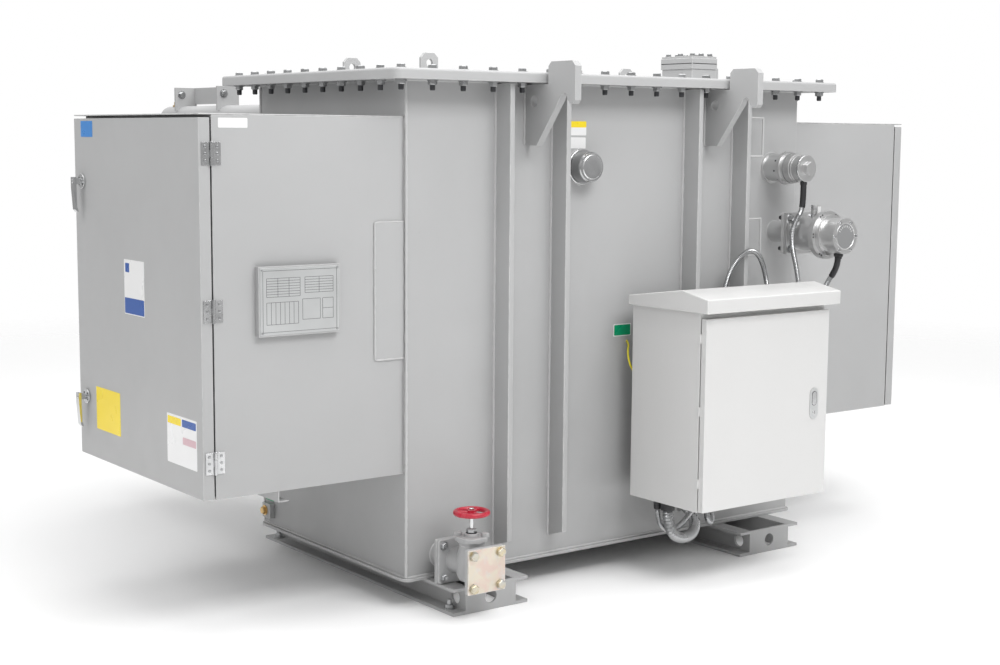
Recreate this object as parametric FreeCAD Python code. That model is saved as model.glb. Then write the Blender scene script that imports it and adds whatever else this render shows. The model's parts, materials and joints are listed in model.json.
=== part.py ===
"""Oil-filled power transformer on skids, with two terminal cabinets, a control box and radiators.

Frame: X to the right along the front, Y towards the radiators, Z up, in millimetres.
The origin is the centre of the four anchor holes, at floor level.
"""
import FreeCAD, Part
import math
import os

Vec = FreeCAD.Vector

# ---------------------------------------------------------------- driving dimensions
SKID_HEIGHT = 86.0
SKID_HALF_LENGTH = 600.0
SKID_OUTER_TIP = 762.0
SKID_OUTER_WEB = 715.0
SKID_INNER_WEB = 521.0
SKID_INNER_TIP = 474.0
SKID_WEB = 8.0
SKID_FLANGE = 10.0
ANCHOR_X = 738.0
ANCHOR_Y = 545.0
ANCHOR_HOLE_R = 9.0
SKID_HOLE_R = 22.0

BASE_THICKNESS = 10.0
BASE_OVERHANG = 15.0

TANK_LEFT = -830.0
TANK_RIGHT = 870.0
TANK_FRONT = -440.0
TANK_REAR = 475.0
TANK_BOTTOM = SKID_HEIGHT + BASE_THICKNESS
TANK_WALL = 8.0
COVER_UNDERSIDE = 1636.0
COVER_HEIGHT = 33.0
COVER_PLATE = 14.0
COVER_LIP = 12.0
COVER_OVERHANG = 104.0
COVER_CORNER_R = 26.0
RIM_GAP = 2.0

STIFFENER_DEPTH = 77.0
STIFFENER_THICKNESS = 18.0
STIFFENERS_X = (TANK_LEFT + 336.0, TANK_LEFT + 562.0, TANK_LEFT + 1141.0, TANK_LEFT + 1373.0)
STIFFENER_BOTTOM = TANK_BOTTOM + 58.0
STIFFENER_TOP = COVER_UNDERSIDE - 4.0
BRACKET_THICKNESS = 25.0
BRACKETS_X = (TANK_LEFT + 450.0, TANK_LEFT + 1238.0)
BRACKET_HOLE_R = 17.5
BRACKET_HOLE_OUT = 49.0
BRACKET_HOLE_Z = 1580.0
# lifting bracket's outline, as (distance from the wall, height)
BRACKET_OUTLINE = ((0, 1441), (63, 1441), (174, 1582), (182, 1597), (198, 1604), (211, 1597), (214, 1583),
                   (228, 1570), (241, 1570), (252, 1581), (252, 1686), (236, 1702), (133, 1702),
                   (119, 1688), (119, STIFFENER_TOP), (0, STIFFENER_TOP))
LUGS_X = (TANK_LEFT + 232.0, TANK_RIGHT - 224.0)
LUGS_Y = (TANK_FRONT + 222.0, TANK_REAR - 222.0)
LUG_WIDTH = 66.0
LUG_HEIGHT = 64.0
LUG_BEVEL = 15.0
LUG_THICKNESS = 12.0
LUG_HOLE_R = 12.0
LUG_HOLE_UP = 32.0
HANDHOLE_X = (TANK_LEFT + 1315.0, TANK_LEFT + 1438.0)
HANDHOLE_Y = (TANK_FRONT + 150.0, TANK_FRONT + 315.0)
HANDHOLE_NECK = 44.0
HANDHOLE_PLATE = 38.0
HANDHOLE_PAD = 8.0

CABINET_FRONT = -430.0
CABINET_REAR = 460.0
CABINET_BOTTOM = 428.0
CABINET_TOP = 1528.0
CABINET_SHEET = 3.0
CABINET_ROOF = 4.0
CABINET_FRAME = 28.0
HV_MOUTH = -1473.0
HV_DOOR_FACE = -1513.0
LV_MOUTH = 1424.0
LV_DOOR_FACE = 1466.0
DOOR_GAP = 5.0
DOOR_TOP_GAP = 8.0
HINGE_STAND_OFF = 6.0
HINGE_KNUCKLE_R = 5.0
HINGE_LEAF = 3.0
HINGE_LEAF_WIDTH = 30.0
HINGE_HEIGHT = 64.0
HINGES_Z = (536.0, 972.0, 1416.0)
HANDLES_Z = (624.0, 1318.0)
HANDLE_INSET = 62.0
GRIP_OUTER = 36.0
GRIP_HALF_WIDTH = 11.0
# grip seen from the side: (distance out from the door's face, height above the hub's axis)
GRIP_PROFILE = ((26.0, 13.0), (GRIP_OUTER, 13.0), (GRIP_OUTER, -20.0), (31.0, -90.0), (24.0, -99.0),
                (20.0, -95.0), (25.0, -82.0), (26.0, -20.0))

BOX_LEFT = 20.0
BOX_RIGHT = 595.0
BOX_FRONT = -847.0
BOX_BACK = -523.0
BOX_BOTTOM = 269.0
BOX_TOP = 918.0
BOX_SHEET = 2.5
BOX_RIM = 24.0
BOX_DOOR_FACE = -873.0
BOX_DOOR_TOP = BOX_TOP - 20.0
HOOD_LEFT = -1.0
HOOD_RIGHT = 614.0
HOOD_FRONT = -901.0
HOOD_BACK = BOX_BACK + 1.0
HOOD_FASCIA_TOP = 963.0
HOOD_RIDGE_Y = -782.0
HOOD_RIDGE = 986.0
HOOD_REAR_TOP = 950.0
HOOD_SKIN = 3.0
PACKERS_Z = (330.0, 800.0)
PACKER_HEIGHT = 60.0
BOX_DOOR_LEFT = BOX_LEFT + 1.0
BOX_DOOR_RIGHT = BOX_RIGHT - 4.0
BOX_DOOR_SHEET = 2.0
BOX_PIVOT_X = BOX_LEFT - 4.0
BOX_PIVOTS_Z = (350.0, 585.0, 820.0)
BOX_PIVOT_HEIGHT = 30.0
BOX_PIVOT_R = 3.0
NAMEPLATE_X = (-1341.0, -1070.0)
NAMEPLATE_Z = (890.0, 1094.0)
NAMEPLATE_STAND_OFF = 20.0
NAMEPLATE_SHEET = 2.5
NAMEPLATE_MARGIN = 5.0
NAMEPLATE_THICKNESS = 1.5

TAP_CHANGER_X = -145.0
TAP_CHANGER_Z = 1372.0
TEMPERATURE_X = 742.0
TEMPERATURE_Z = 1364.0
TEMPERATURE_REACH = 176.0
# turned steps, as (radius, distance from the wall or flange where the step ends)
CAP_STEPS = ((59, 10), (50, 52), (47, 62))
TEMPERATURE_STEPS = ((54, 8), (48, 74), (59, 90), (52, 132), (49, 140), (46, TEMPERATURE_REACH))
TEMPERATURE_HEX = 44.0
TEMPERATURE_HEX_DEPTH = 18.0
LEVEL_STEPS = ((60, 110), (84, 131), (72, 148), (62, 207))
LEVEL_PIPE_R = 38.0
BREATHER_OUT = 65.0
BREATHER_R = 14.0
LEVEL_X = 766.0
LEVEL_Z = 1134.0
LEVEL_PIPE_LENGTH = 103.0
LEVEL_FLANGE_HALF = 73.0
LEVEL_FLANGE_THICKNESS = 14.0
THIN_CONDUIT_R = 9.5
MIDDLE_CONDUIT_R = 10.5
WIDE_CONDUIT_R = 19.0
EARTH_WIRE_R = 3.5
# conduit routes, from the fitting at one end to the wall or box at the other
TEMPERATURE_ROUTE = [(742, -600, 1345), (743, -600, 1262), (736, -600, 1214), (706, -602, 1182),
                     (688, -603, 1148), (686, -603, 1110), (697, -602, 1068), (717, -600, 1018),
                     (732, -600, 960), (738, -602, 890), (726, -604, 820), (695, -606, 762),
                     (650, -606, 722), (590, -606, 712)]
LEVEL_ROUTE = [(766, -750, 1100), (766, -750, 1050), (767, -736, 1010), (764, -702, 965),
               (756, -680, 905), (740, -662, 840), (712, -652, 778), (668, -648, 722),
               (590, -648, 698)]
ARCH_ROUTE = [(34, -645, 275), (36, -645, 215), (60, -640, 174), (115, -625, 152),
              (185, -600, 156), (250, -575, 182), (310, -554, 212), (365, -532, 228),
              (402, -498, 256), (420, -482, 320), (440, -480, 500), (462, -480, 800),
              (478, -486, 950), (488, -508, 1018), (512, -534, 1064), (550, -537, 1080),
              (600, -528, 1064), (645, -510, 1018), (676, -500, 950), (690, -500, 870),
              (695, -498, 800), (695, -482, 762), (695, -400, 730)]
WIDE_ROUTE = [(48, -680, 275), (50, -680, 205), (82, -672, 150), (150, -655, 126),
              (228, -620, 128), (280, -572, 156), (285, -522, 190), (285, -478, 208),
              (285, -400, 208)]
MIDDLE_ROUTE = [(292, -612, 275), (293, -612, 205), (308, -602, 158), (350, -576, 136),
                (395, -535, 150), (410, -484, 178), (410, -400, 186)]
EARTH_ROUTE = [(75, -400, 790), (58, -462, 774), (33, -484, 757), (24, -500, 725), (31, -510, 695),
               (44, -518, 682), (58, -540, 678)]
CABLE_ROD_R = 3.5
CABLE_ROD_REACH = 74.0
CABLE_ROD_Y = TANK_FRONT - 60.0
# bottom and top of each bent rod
CABLE_RODS_Z = ((1406.0, 1540.0), (1056.0, 1186.0))
SUPPORT_ANGLE_X = -1270.0
SUPPORT_ANGLE_LEG = 35.0
SUPPORT_ANGLE_THICKNESS = 4.0
PATCH_PLATE = 4.0
PATCH_WIDTH = 108.0
PATCH_BOTTOM = 791.0
PATCH_TOP = 1210.0

DRAIN_X = TANK_LEFT + 130.0
DRAIN_Z = TANK_BOTTOM + 62.0
DRAIN_FLANGE = 140.0
VALVE_NEAR = TANK_FRONT - 80.0
VALVE_FAR = TANK_FRONT - 244.0
VALVE_Y = TANK_FRONT - 168.0
VALVE_FLANGE = 12.0
STUB_R = 41.0
VALVE_R = 44.0
BULB_R = 46.0
BULB_DEPTH = 52.0
BONNET_UP = 76.0
BONNET_HALF = 50.0
BONNET_THICKNESS = 15.0
BONNET_CORNER_R = 26.0
GLAND_R = 20.0
GLAND_HEIGHT = 12.0
GLAND_NUT = 30.0
STEM_R = 6.0
WHEEL_RIM_R = 8.0
WHEEL_HUB_R = 14.0
SPOKE_R = 5.5
BLANK_HALF = 69.0
BLANK_THICKNESS = 6.0
WHEEL_Z = 322.0
WHEEL_R = 58.0

RADIATOR_HEADERS_X = (TANK_LEFT + 150.0, TANK_RIGHT - 150.0)
HEADER_R = 45.0
HEADER_WALL = 4.0
HEADER_TOP_Z = 1533.0
HEADER_BOTTOM_Z = 433.0
HEADER_END = 1505.0
PANEL_WIDTH = 520.0
PANEL_THICKNESS = 12.0
PANEL_SHEET = 1.5
PANEL_PITCH = 50.0
PANEL_COUNT = 19
PANEL_FIRST_Y = TANK_REAR + 90.0
PANEL_BOTTOM = 383.0
PANEL_TOP = 1541.0
PANEL_CORNER_R = 30.0
PANEL_SEAM = 10.0
RADIATOR_LUGS_Y = (1013.0, 1373.0)
RADIATOR_LUG_HALF = 46.0
RADIATOR_LUG_THICKNESS = 8.0
RADIATOR_LUG_UP = 72.0


# ---------------------------------------------------------------- shape helpers
def box(x0, x1, y0, y1, z0, z1):
    """Box between two corners given as ranges along X, Y and Z."""
    low = Vec(min(x0, x1), min(y0, y1), min(z0, z1))
    return Part.makeBox(abs(x1 - x0), abs(y1 - y0), abs(z1 - z0), low)


def rod(start, end, radius):
    """Round rod from one point to another."""
    a = Vec(*start)
    b = Vec(*end)
    return Part.makeCylinder(radius, (b - a).Length, a, b - a)


def fuse(shapes):
    """One solid from shapes that overlap or touch face to face."""
    joined = shapes[0]
    for shape in shapes[1:]:
        joined = joined.fuse(shape)
    return joined.removeSplitter()


def prism_x(outline, x0, x1):
    """Extrude a closed outline of (y, z) points from x0 to x1."""
    points = [Vec(x0, y, z) for y, z in outline]
    face = Part.Face(Part.makePolygon(points + [points[0]]))
    return face.extrude(Vec(x1 - x0, 0, 0))


def prism_y(outline, y0, y1):
    """Extrude a closed outline of (x, z) points from y0 to y1."""
    points = [Vec(x, y0, z) for x, z in outline]
    face = Part.Face(Part.makePolygon(points + [points[0]]))
    return face.extrude(Vec(0, y1 - y0, 0))


def hexagon(centre, direction, across_flats, height):
    """Hexagonal prism standing on its centre along a direction."""
    axis = Vec(*direction)
    side = Vec(0, 0, 1) if abs(axis.z) < 0.5 else Vec(1, 0, 0)
    turn = axis.cross(side)
    corner_r = across_flats / math.sqrt(3.0)
    points = []
    for step in range(6):
        angle = math.radians(60 * step)
        offset = side * (corner_r * math.cos(angle)) + turn * (corner_r * math.sin(angle))
        points.append(Vec(*centre) + offset)
    face = Part.Face(Part.makePolygon(points + [points[0]]))
    return face.extrude(axis * height)


def rounded_plate(x0, x1, y0, y1, z0, z1, radius):
    """Flat plate with its four plan corners rounded."""
    plate = box(x0, x1, y0, y1, z0, z1)
    upright = [e for e in plate.Edges if abs(e.Vertexes[0].Z - e.Vertexes[-1].Z) > 0.5 * abs(z1 - z0)]
    return plate.makeFillet(radius, upright)


def tube(points, radius, share=0.45):
    """Round tube along straight runs joined by tangent arcs; prints each arc's radius in diameters."""
    route = [Vec(*p) for p in points]
    edges = []
    start = route[0]
    radii = []
    for before, corner, after in zip(route, route[1:], route[2:]):
        back = (before - corner).normalize()
        ahead = (after - corner).normalize()
        turn = math.pi - back.getAngle(ahead)
        tangent = share * min((before - corner).Length, (after - corner).Length)
        arc_r = tangent / math.tan(turn / 2.0)
        radii.append(arc_r / (2.0 * radius))
        first = corner + back * tangent
        last = corner + ahead * tangent
        inward = (back + ahead).normalize()
        centre = corner + inward * (arc_r / math.cos(turn / 2.0))
        middle = centre - inward * arc_r
        edges.append(Part.LineSegment(start, first).toShape())
        edges.append(Part.Arc(first, middle, last).toShape())
        start = last
    edges.append(Part.LineSegment(start, route[-1]).toShape())
    path = Part.Wire(edges)
    ring = Part.Wire(Part.Circle(route[0], route[1] - route[0], radius).toShape())
    solid = path.makePipeShell([ring], True, False)
    print("  arcs in diameters:", [round(r, 1) for r in radii], "length", round(path.Length))
    return solid


def save(name, shapes):
    """Write one node from one solid or from several solids that stay apart."""
    solids = [shapes] if not isinstance(shapes, (list, tuple)) else list(shapes)
    flat = []
    for shape in solids:
        flat.extend(shape.Solids)
    result = flat[0] if len(flat) == 1 else Part.makeCompound(flat)
    assert result.isValid(), name
    result.exportStep(f"parts/{name}.step")
    print(f"{name}: {len(flat)} solid, {result.Volume / 1e6:.2f} litres")


# ---------------------------------------------------------------- base
def skid(side):
    """One skid: two channels back to back with end plates, under one side of the tank (side -1 or 1)."""
    def across(distance):
        return side * distance

    pieces = []
    front = -SKID_HALF_LENGTH
    rear = SKID_HALF_LENGTH
    for web, tip, inward in ((SKID_OUTER_WEB, SKID_OUTER_TIP, -1), (SKID_INNER_WEB, SKID_INNER_TIP, 1)):
        inner_face = web + inward * SKID_WEB
        pieces.append(box(across(web), across(inner_face), front, rear, 0, SKID_HEIGHT))
        for low in (0.0, SKID_HEIGHT - SKID_FLANGE):
            pieces.append(box(across(web), across(tip), front, rear, low, low + SKID_FLANGE))
    for end in (-1, 1):
        pieces.append(box(across(SKID_OUTER_WEB - SKID_WEB), across(SKID_INNER_WEB + SKID_WEB),
                          end * SKID_HALF_LENGTH, end * (SKID_HALF_LENGTH - SKID_WEB), 0, SKID_HEIGHT))
    body = fuse(pieces)
    middle = across((SKID_OUTER_WEB + SKID_INNER_WEB) / 2.0)
    half_height = SKID_HEIGHT / 2.0
    for end in (-1, 1):
        body = body.cut(rod((middle, end * (SKID_HALF_LENGTH + 5), half_height),
                            (middle, end * (SKID_HALF_LENGTH - 2 * SKID_WEB), half_height), SKID_HOLE_R))
        reach_y = end * (SKID_HALF_LENGTH - 55)
        body = body.cut(rod((across(SKID_OUTER_TIP), reach_y, half_height),
                            (across(SKID_INNER_TIP), reach_y, half_height), SKID_HOLE_R))
        body = body.cut(rod((across(ANCHOR_X), end * ANCHOR_Y, -1),
                            (across(ANCHOR_X), end * ANCHOR_Y, SKID_FLANGE + 1), ANCHOR_HOLE_R))
    return body


def build_base():
    """Skids and the tank's bottom plate."""
    save("skid_left", skid(-1))
    save("skid_right", skid(1))
    save("base_plate", rounded_plate(TANK_LEFT - BASE_OVERHANG, TANK_RIGHT + BASE_OVERHANG,
                                     TANK_FRONT - BASE_OVERHANG, TANK_REAR + BASE_OVERHANG,
                                     SKID_HEIGHT, TANK_BOTTOM, 30.0))


# ---------------------------------------------------------------- tank
def cover_lug(x, y, foot):
    """Small lifting lug with bevelled shoulders that stands on the cover."""
    half = LUG_WIDTH / 2.0
    shoulder = foot + LUG_HEIGHT - LUG_BEVEL
    outline = [(x - half, foot), (x + half, foot), (x + half, shoulder),
               (x + half - LUG_BEVEL, foot + LUG_HEIGHT), (x - half + LUG_BEVEL, foot + LUG_HEIGHT),
               (x - half, shoulder)]
    half_thickness = LUG_THICKNESS / 2.0
    hole_z = foot + LUG_HOLE_UP
    hole = rod((x, y - LUG_THICKNESS, hole_z), (x, y + LUG_THICKNESS, hole_z), LUG_HOLE_R)
    return prism_y(outline, y - half_thickness, y + half_thickness).cut(hole)


def build_tank():
    """Four welded wall plates, the rim flange and the bolted cover with its hand-hole and lugs."""
    rim_top = COVER_UNDERSIDE + COVER_HEIGHT - COVER_PLATE
    inner_left = TANK_LEFT + TANK_WALL
    inner_right = TANK_RIGHT - TANK_WALL
    inner_front = TANK_FRONT + TANK_WALL
    inner_rear = TANK_REAR - TANK_WALL
    save("tank_front_wall", box(TANK_LEFT, TANK_RIGHT, TANK_FRONT, inner_front, TANK_BOTTOM, rim_top))
    save("tank_rear_wall", box(TANK_LEFT, TANK_RIGHT, inner_rear, TANK_REAR, TANK_BOTTOM, rim_top))
    save("tank_side_walls", [
        box(TANK_LEFT, inner_left, inner_front, inner_rear, TANK_BOTTOM, rim_top),
        box(inner_right, TANK_RIGHT, inner_front, inner_rear, TANK_BOTTOM, rim_top)])

    left = TANK_LEFT - COVER_OVERHANG
    right = TANK_RIGHT + COVER_OVERHANG
    front = TANK_FRONT - COVER_OVERHANG
    rear = TANK_REAR + COVER_OVERHANG
    inset = COVER_LIP + RIM_GAP
    rim_bottom = COVER_UNDERSIDE + 1.0
    ring = rounded_plate(left + inset, right - inset, front + inset, rear - inset, rim_bottom, rim_top, 14.0)
    ring = ring.cut(box(TANK_LEFT, TANK_RIGHT, TANK_FRONT, TANK_REAR, rim_bottom - 1, rim_top + 1))
    save("tank_rim_flange", ring)

    top = COVER_UNDERSIDE + COVER_HEIGHT
    cover = rounded_plate(left, right, front, rear, COVER_UNDERSIDE, top, COVER_CORNER_R)
    top_edges = [e for e in cover.Edges if e.BoundBox.ZMin > top - 0.01]
    cover = cover.makeFillet(9.0, top_edges)
    recess = rounded_plate(left + COVER_LIP, right - COVER_LIP, front + COVER_LIP, rear - COVER_LIP,
                           COVER_UNDERSIDE - 1, rim_top, COVER_CORNER_R - COVER_LIP)
    save("cover", cover.cut(recess))

    save("cover_lifting_lugs", [cover_lug(x, y, top) for x in LUGS_X for y in LUGS_Y])

    left, right = HANDHOLE_X
    front, rear = HANDHOLE_Y
    neck_top = top + HANDHOLE_NECK
    plate_top = neck_top + HANDHOLE_PLATE
    save("handhole_neck", box(left + 3, right - 3, front + 3, rear - 3, top, neck_top))
    plate = box(left, right, front, rear, neck_top, plate_top)
    pad = box(left + 2, right - 2, front + 2, rear - 2, plate_top, plate_top + HANDHOLE_PAD)
    save("handhole_cover", fuse([plate, pad]))


def build_core():
    """Three-limb core with its windings, standing on the tank's bottom."""
    half_width = 625.0
    half_depth = 130.0
    yoke = 180.0
    height = 1000.0
    middle = (TANK_LEFT + TANK_RIGHT) / 2.0
    depth = (TANK_FRONT + TANK_REAR) / 2.0
    low = TANK_BOTTOM
    pieces = []
    front = depth - half_depth
    rear = depth + half_depth
    for z in (low, low + height - yoke):
        pieces.append(box(middle - half_width, middle + half_width, front, rear, z, z + yoke))
    for step in (-1, 0, 1):
        x = middle + step * (half_width - yoke / 2.0)
        pieces.append(box(x - yoke / 2, x + yoke / 2, front, rear, low, low + height))
        coil = rod((x, depth, low + yoke), (x, depth, low + height - yoke), 205.0)
        bore = rod((x, depth, low), (x, depth, low + height), 162.0)
        pieces.append(coil.cut(bore))
    save("core_and_windings", fuse(pieces))


def lifting_bracket(x, wall_y, outward):
    """Thick gusset with a lifting hole and a lug that passes outside the cover; outward is -1 or 1."""
    outline = [(wall_y + outward * out, z) for out, z in BRACKET_OUTLINE]
    plate = prism_x(outline, x, x + BRACKET_THICKNESS)
    hole_y = wall_y + outward * BRACKET_HOLE_OUT
    start = (x - 1, hole_y, BRACKET_HOLE_Z)
    end = (x + BRACKET_THICKNESS + 1, hole_y, BRACKET_HOLE_Z)
    return plate.cut(rod(start, end, BRACKET_HOLE_R))


def build_tank_fittings():
    """Wall stiffeners and the four lifting brackets."""
    bars = []
    for x in STIFFENERS_X:
        outline = [(TANK_FRONT, STIFFENER_BOTTOM), (TANK_FRONT - STIFFENER_DEPTH, STIFFENER_BOTTOM + 25),
                   (TANK_FRONT - STIFFENER_DEPTH, STIFFENER_TOP), (TANK_FRONT, STIFFENER_TOP)]
        bars.append(prism_x(outline, x, x + STIFFENER_THICKNESS))
    save("front_stiffeners", bars)
    save("front_lifting_brackets", [lifting_bracket(x, TANK_FRONT, -1) for x in BRACKETS_X])
    save("rear_lifting_brackets", [lifting_bracket(x, TANK_REAR, 1) for x in BRACKETS_X])


def build_small_fittings():
    """Bent cable rods, and the HV cabinet's support angle and patch plate."""
    right_face = STIFFENERS_X[3] + STIFFENER_THICKNESS
    rods = []
    for low, high in CABLE_RODS_Z:
        far = right_face + CABLE_ROD_REACH
        low_arm = rod((right_face, CABLE_ROD_Y, low), (far, CABLE_ROD_Y, low), CABLE_ROD_R)
        high_arm = rod((right_face, CABLE_ROD_Y, high), (far, CABLE_ROD_Y, high), CABLE_ROD_R)
        upright = rod((far, CABLE_ROD_Y, low), (far, CABLE_ROD_Y, high), CABLE_ROD_R)
        knees = [Part.makeSphere(CABLE_ROD_R, Vec(far, CABLE_ROD_Y, z)) for z in (low, high)]
        rods.append(fuse([low_arm, high_arm, upright] + knees))
    save("cable_rods", rods)

    leg = SUPPORT_ANGLE_LEG
    angle_top = CABINET_BOTTOM
    upright = box(SUPPORT_ANGLE_X, SUPPORT_ANGLE_X + SUPPORT_ANGLE_THICKNESS, CABINET_FRONT + 5,
                  CABINET_REAR - 5, angle_top - leg, angle_top)
    foot = box(SUPPORT_ANGLE_X, SUPPORT_ANGLE_X + leg, CABINET_FRONT + 5, CABINET_REAR - 5,
               angle_top - leg, angle_top - leg + SUPPORT_ANGLE_THICKNESS)
    save("cabinet_support_angle", fuse([upright, foot]))

    save("cabinet_patch_plate", box(TANK_LEFT - PATCH_WIDTH, TANK_LEFT, CABINET_FRONT - PATCH_PLATE,
                                    CABINET_FRONT, PATCH_BOTTOM, PATCH_TOP))


# ---------------------------------------------------------------- terminal cabinets
def cabinet(prefix, mouth, door_face, tank_x):
    """Sheet cabinet open towards its door; the door hangs on the front edge (HV) or the rear edge (LV)."""
    out = 1.0 if mouth > tank_x else -1.0
    floor_top = CABINET_BOTTOM + CABINET_ROOF
    roof_under = CABINET_TOP - CABINET_ROOF
    save(f"{prefix}_cabinet_sides", [
        box(mouth, tank_x, CABINET_FRONT, CABINET_FRONT + CABINET_SHEET, CABINET_BOTTOM, roof_under),
        box(mouth, tank_x, CABINET_REAR - CABINET_SHEET, CABINET_REAR, CABINET_BOTTOM, roof_under)])
    inner = (CABINET_FRONT + CABINET_SHEET, CABINET_REAR - CABINET_SHEET)
    roof = box(door_face, tank_x, CABINET_FRONT, CABINET_REAR, roof_under, CABINET_TOP)
    save(f"{prefix}_cabinet_roof", roof)
    save(f"{prefix}_cabinet_floor", box(mouth, tank_x, inner[0], inner[1], CABINET_BOTTOM, floor_top))
    frame = box(mouth, mouth - out * CABINET_SHEET, inner[0], inner[1], floor_top, roof_under)
    window = box(mouth + out, mouth - out * 2 * CABINET_SHEET,
                 inner[0] + CABINET_FRAME, inner[1] - CABINET_FRAME,
                 floor_top + CABINET_FRAME, roof_under - CABINET_FRAME)
    save(f"{prefix}_cabinet_frame", frame.cut(window))

    door_back = mouth + out * DOOR_GAP
    door_z = (CABINET_BOTTOM + 2, roof_under - DOOR_TOP_GAP)
    door = box(door_face, door_back, CABINET_FRONT, CABINET_REAR, door_z[0], door_z[1])
    hollow = box(door_face - out * CABINET_SHEET, door_back - out, inner[0], inner[1],
                 door_z[0] + CABINET_SHEET, door_z[1] - CABINET_SHEET)
    door = door.cut(hollow)
    hinge_edge = CABINET_FRONT if out < 0 else CABINET_REAR
    free_edge = CABINET_REAR if out < 0 else CABINET_FRONT
    away = -1.0 if out < 0 else 1.0
    handle_y = free_edge + away * HANDLE_INSET
    hub_r = 10.0
    plates = []
    for z in HANDLES_Z:
        plate = rod((door_face, handle_y, z), (door_face + out * 7, handle_y, z), 24.0)
        clearance = rod((door_face - out, handle_y, z), (door_face + out * 8, handle_y, z), hub_r + 0.5)
        plates.append(plate.cut(clearance))
    save(f"{prefix}_door", door)
    save(f"{prefix}_handle_plates", plates)
    for name, z in zip(("lower", "upper"), HANDLES_Z):
        hub = rod((door_face + out * 1, handle_y, z), (door_face + out * GRIP_OUTER, handle_y, z), hub_r)
        profile = [(door_face + out * d, z + rise) for d, rise in GRIP_PROFILE]
        grip = prism_y(profile, handle_y - GRIP_HALF_WIDTH, handle_y + GRIP_HALF_WIDTH)
        save(f"{prefix}_handle_{name}", fuse([hub, grip]))

    pin_x = mouth + out * DOOR_GAP / 2.0
    pin_y = hinge_edge + away * HINGE_STAND_OFF
    fixed = []
    moving = []
    for z in HINGES_Z:
        low = z - HINGE_HEIGHT / 2.0
        high = z + HINGE_HEIGHT / 2.0
        third = HINGE_HEIGHT / 3.0
        leaf = box(pin_x - out * (HINGE_KNUCKLE_R + 0.6), pin_x - out * HINGE_LEAF_WIDTH, hinge_edge,
                   hinge_edge + away * HINGE_LEAF, low, high)
        for start in (low, high - third):
            barrel = rod((pin_x, pin_y, start), (pin_x, pin_y, start + third - 0.5), HINGE_KNUCKLE_R)
            web = box(pin_x, pin_x - out * (HINGE_KNUCKLE_R + 1), hinge_edge + away * 1.5,
                      hinge_edge + away * HINGE_LEAF, start, start + third - 0.5)
            leaf = leaf.fuse(barrel).fuse(web)
        pin = rod((pin_x, pin_y, low), (pin_x, pin_y, high), 2.5)
        fixed.append(leaf.fuse(pin).removeSplitter())
        flap = box(pin_x + out * (HINGE_KNUCKLE_R + 0.6), pin_x + out * HINGE_LEAF_WIDTH, hinge_edge,
                   hinge_edge + away * HINGE_LEAF, low, high)
        middle = rod((pin_x, pin_y, low + third + 0.5), (pin_x, pin_y, high - third - 0.5), HINGE_KNUCKLE_R)
        strap = box(pin_x, pin_x + out * (HINGE_KNUCKLE_R + 1), hinge_edge + away * 1.5,
                    hinge_edge + away * HINGE_LEAF, low + third + 0.5, high - third - 0.5)
        flap = flap.fuse(middle).fuse(strap)
        bore = rod((pin_x, pin_y, low), (pin_x, pin_y, high), 2.8)
        moving.append(flap.cut(bore).removeSplitter())
    save(f"{prefix}_hinges", fixed)
    save(f"{prefix}_door_hinge_leaves", moving)


def build_nameplate():
    """Folded stand-off tray on the HV cabinet's front side, with a bare metal plate on it."""
    left, right = NAMEPLATE_X
    low, high = NAMEPLATE_Z
    sheet = NAMEPLATE_SHEET
    margin = NAMEPLATE_MARGIN
    face = CABINET_FRONT - NAMEPLATE_STAND_OFF
    tray = fuse([box(left, right, face, face + sheet, low, high),
                 box(left, left + sheet, face, CABINET_FRONT, low, high),
                 box(right - sheet, right, face, CABINET_FRONT, low, high)])
    save("nameplate_tray", tray)
    save("nameplate", box(left + margin, right - margin, face - NAMEPLATE_THICKNESS, face,
                          low + margin, high - margin))


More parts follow.
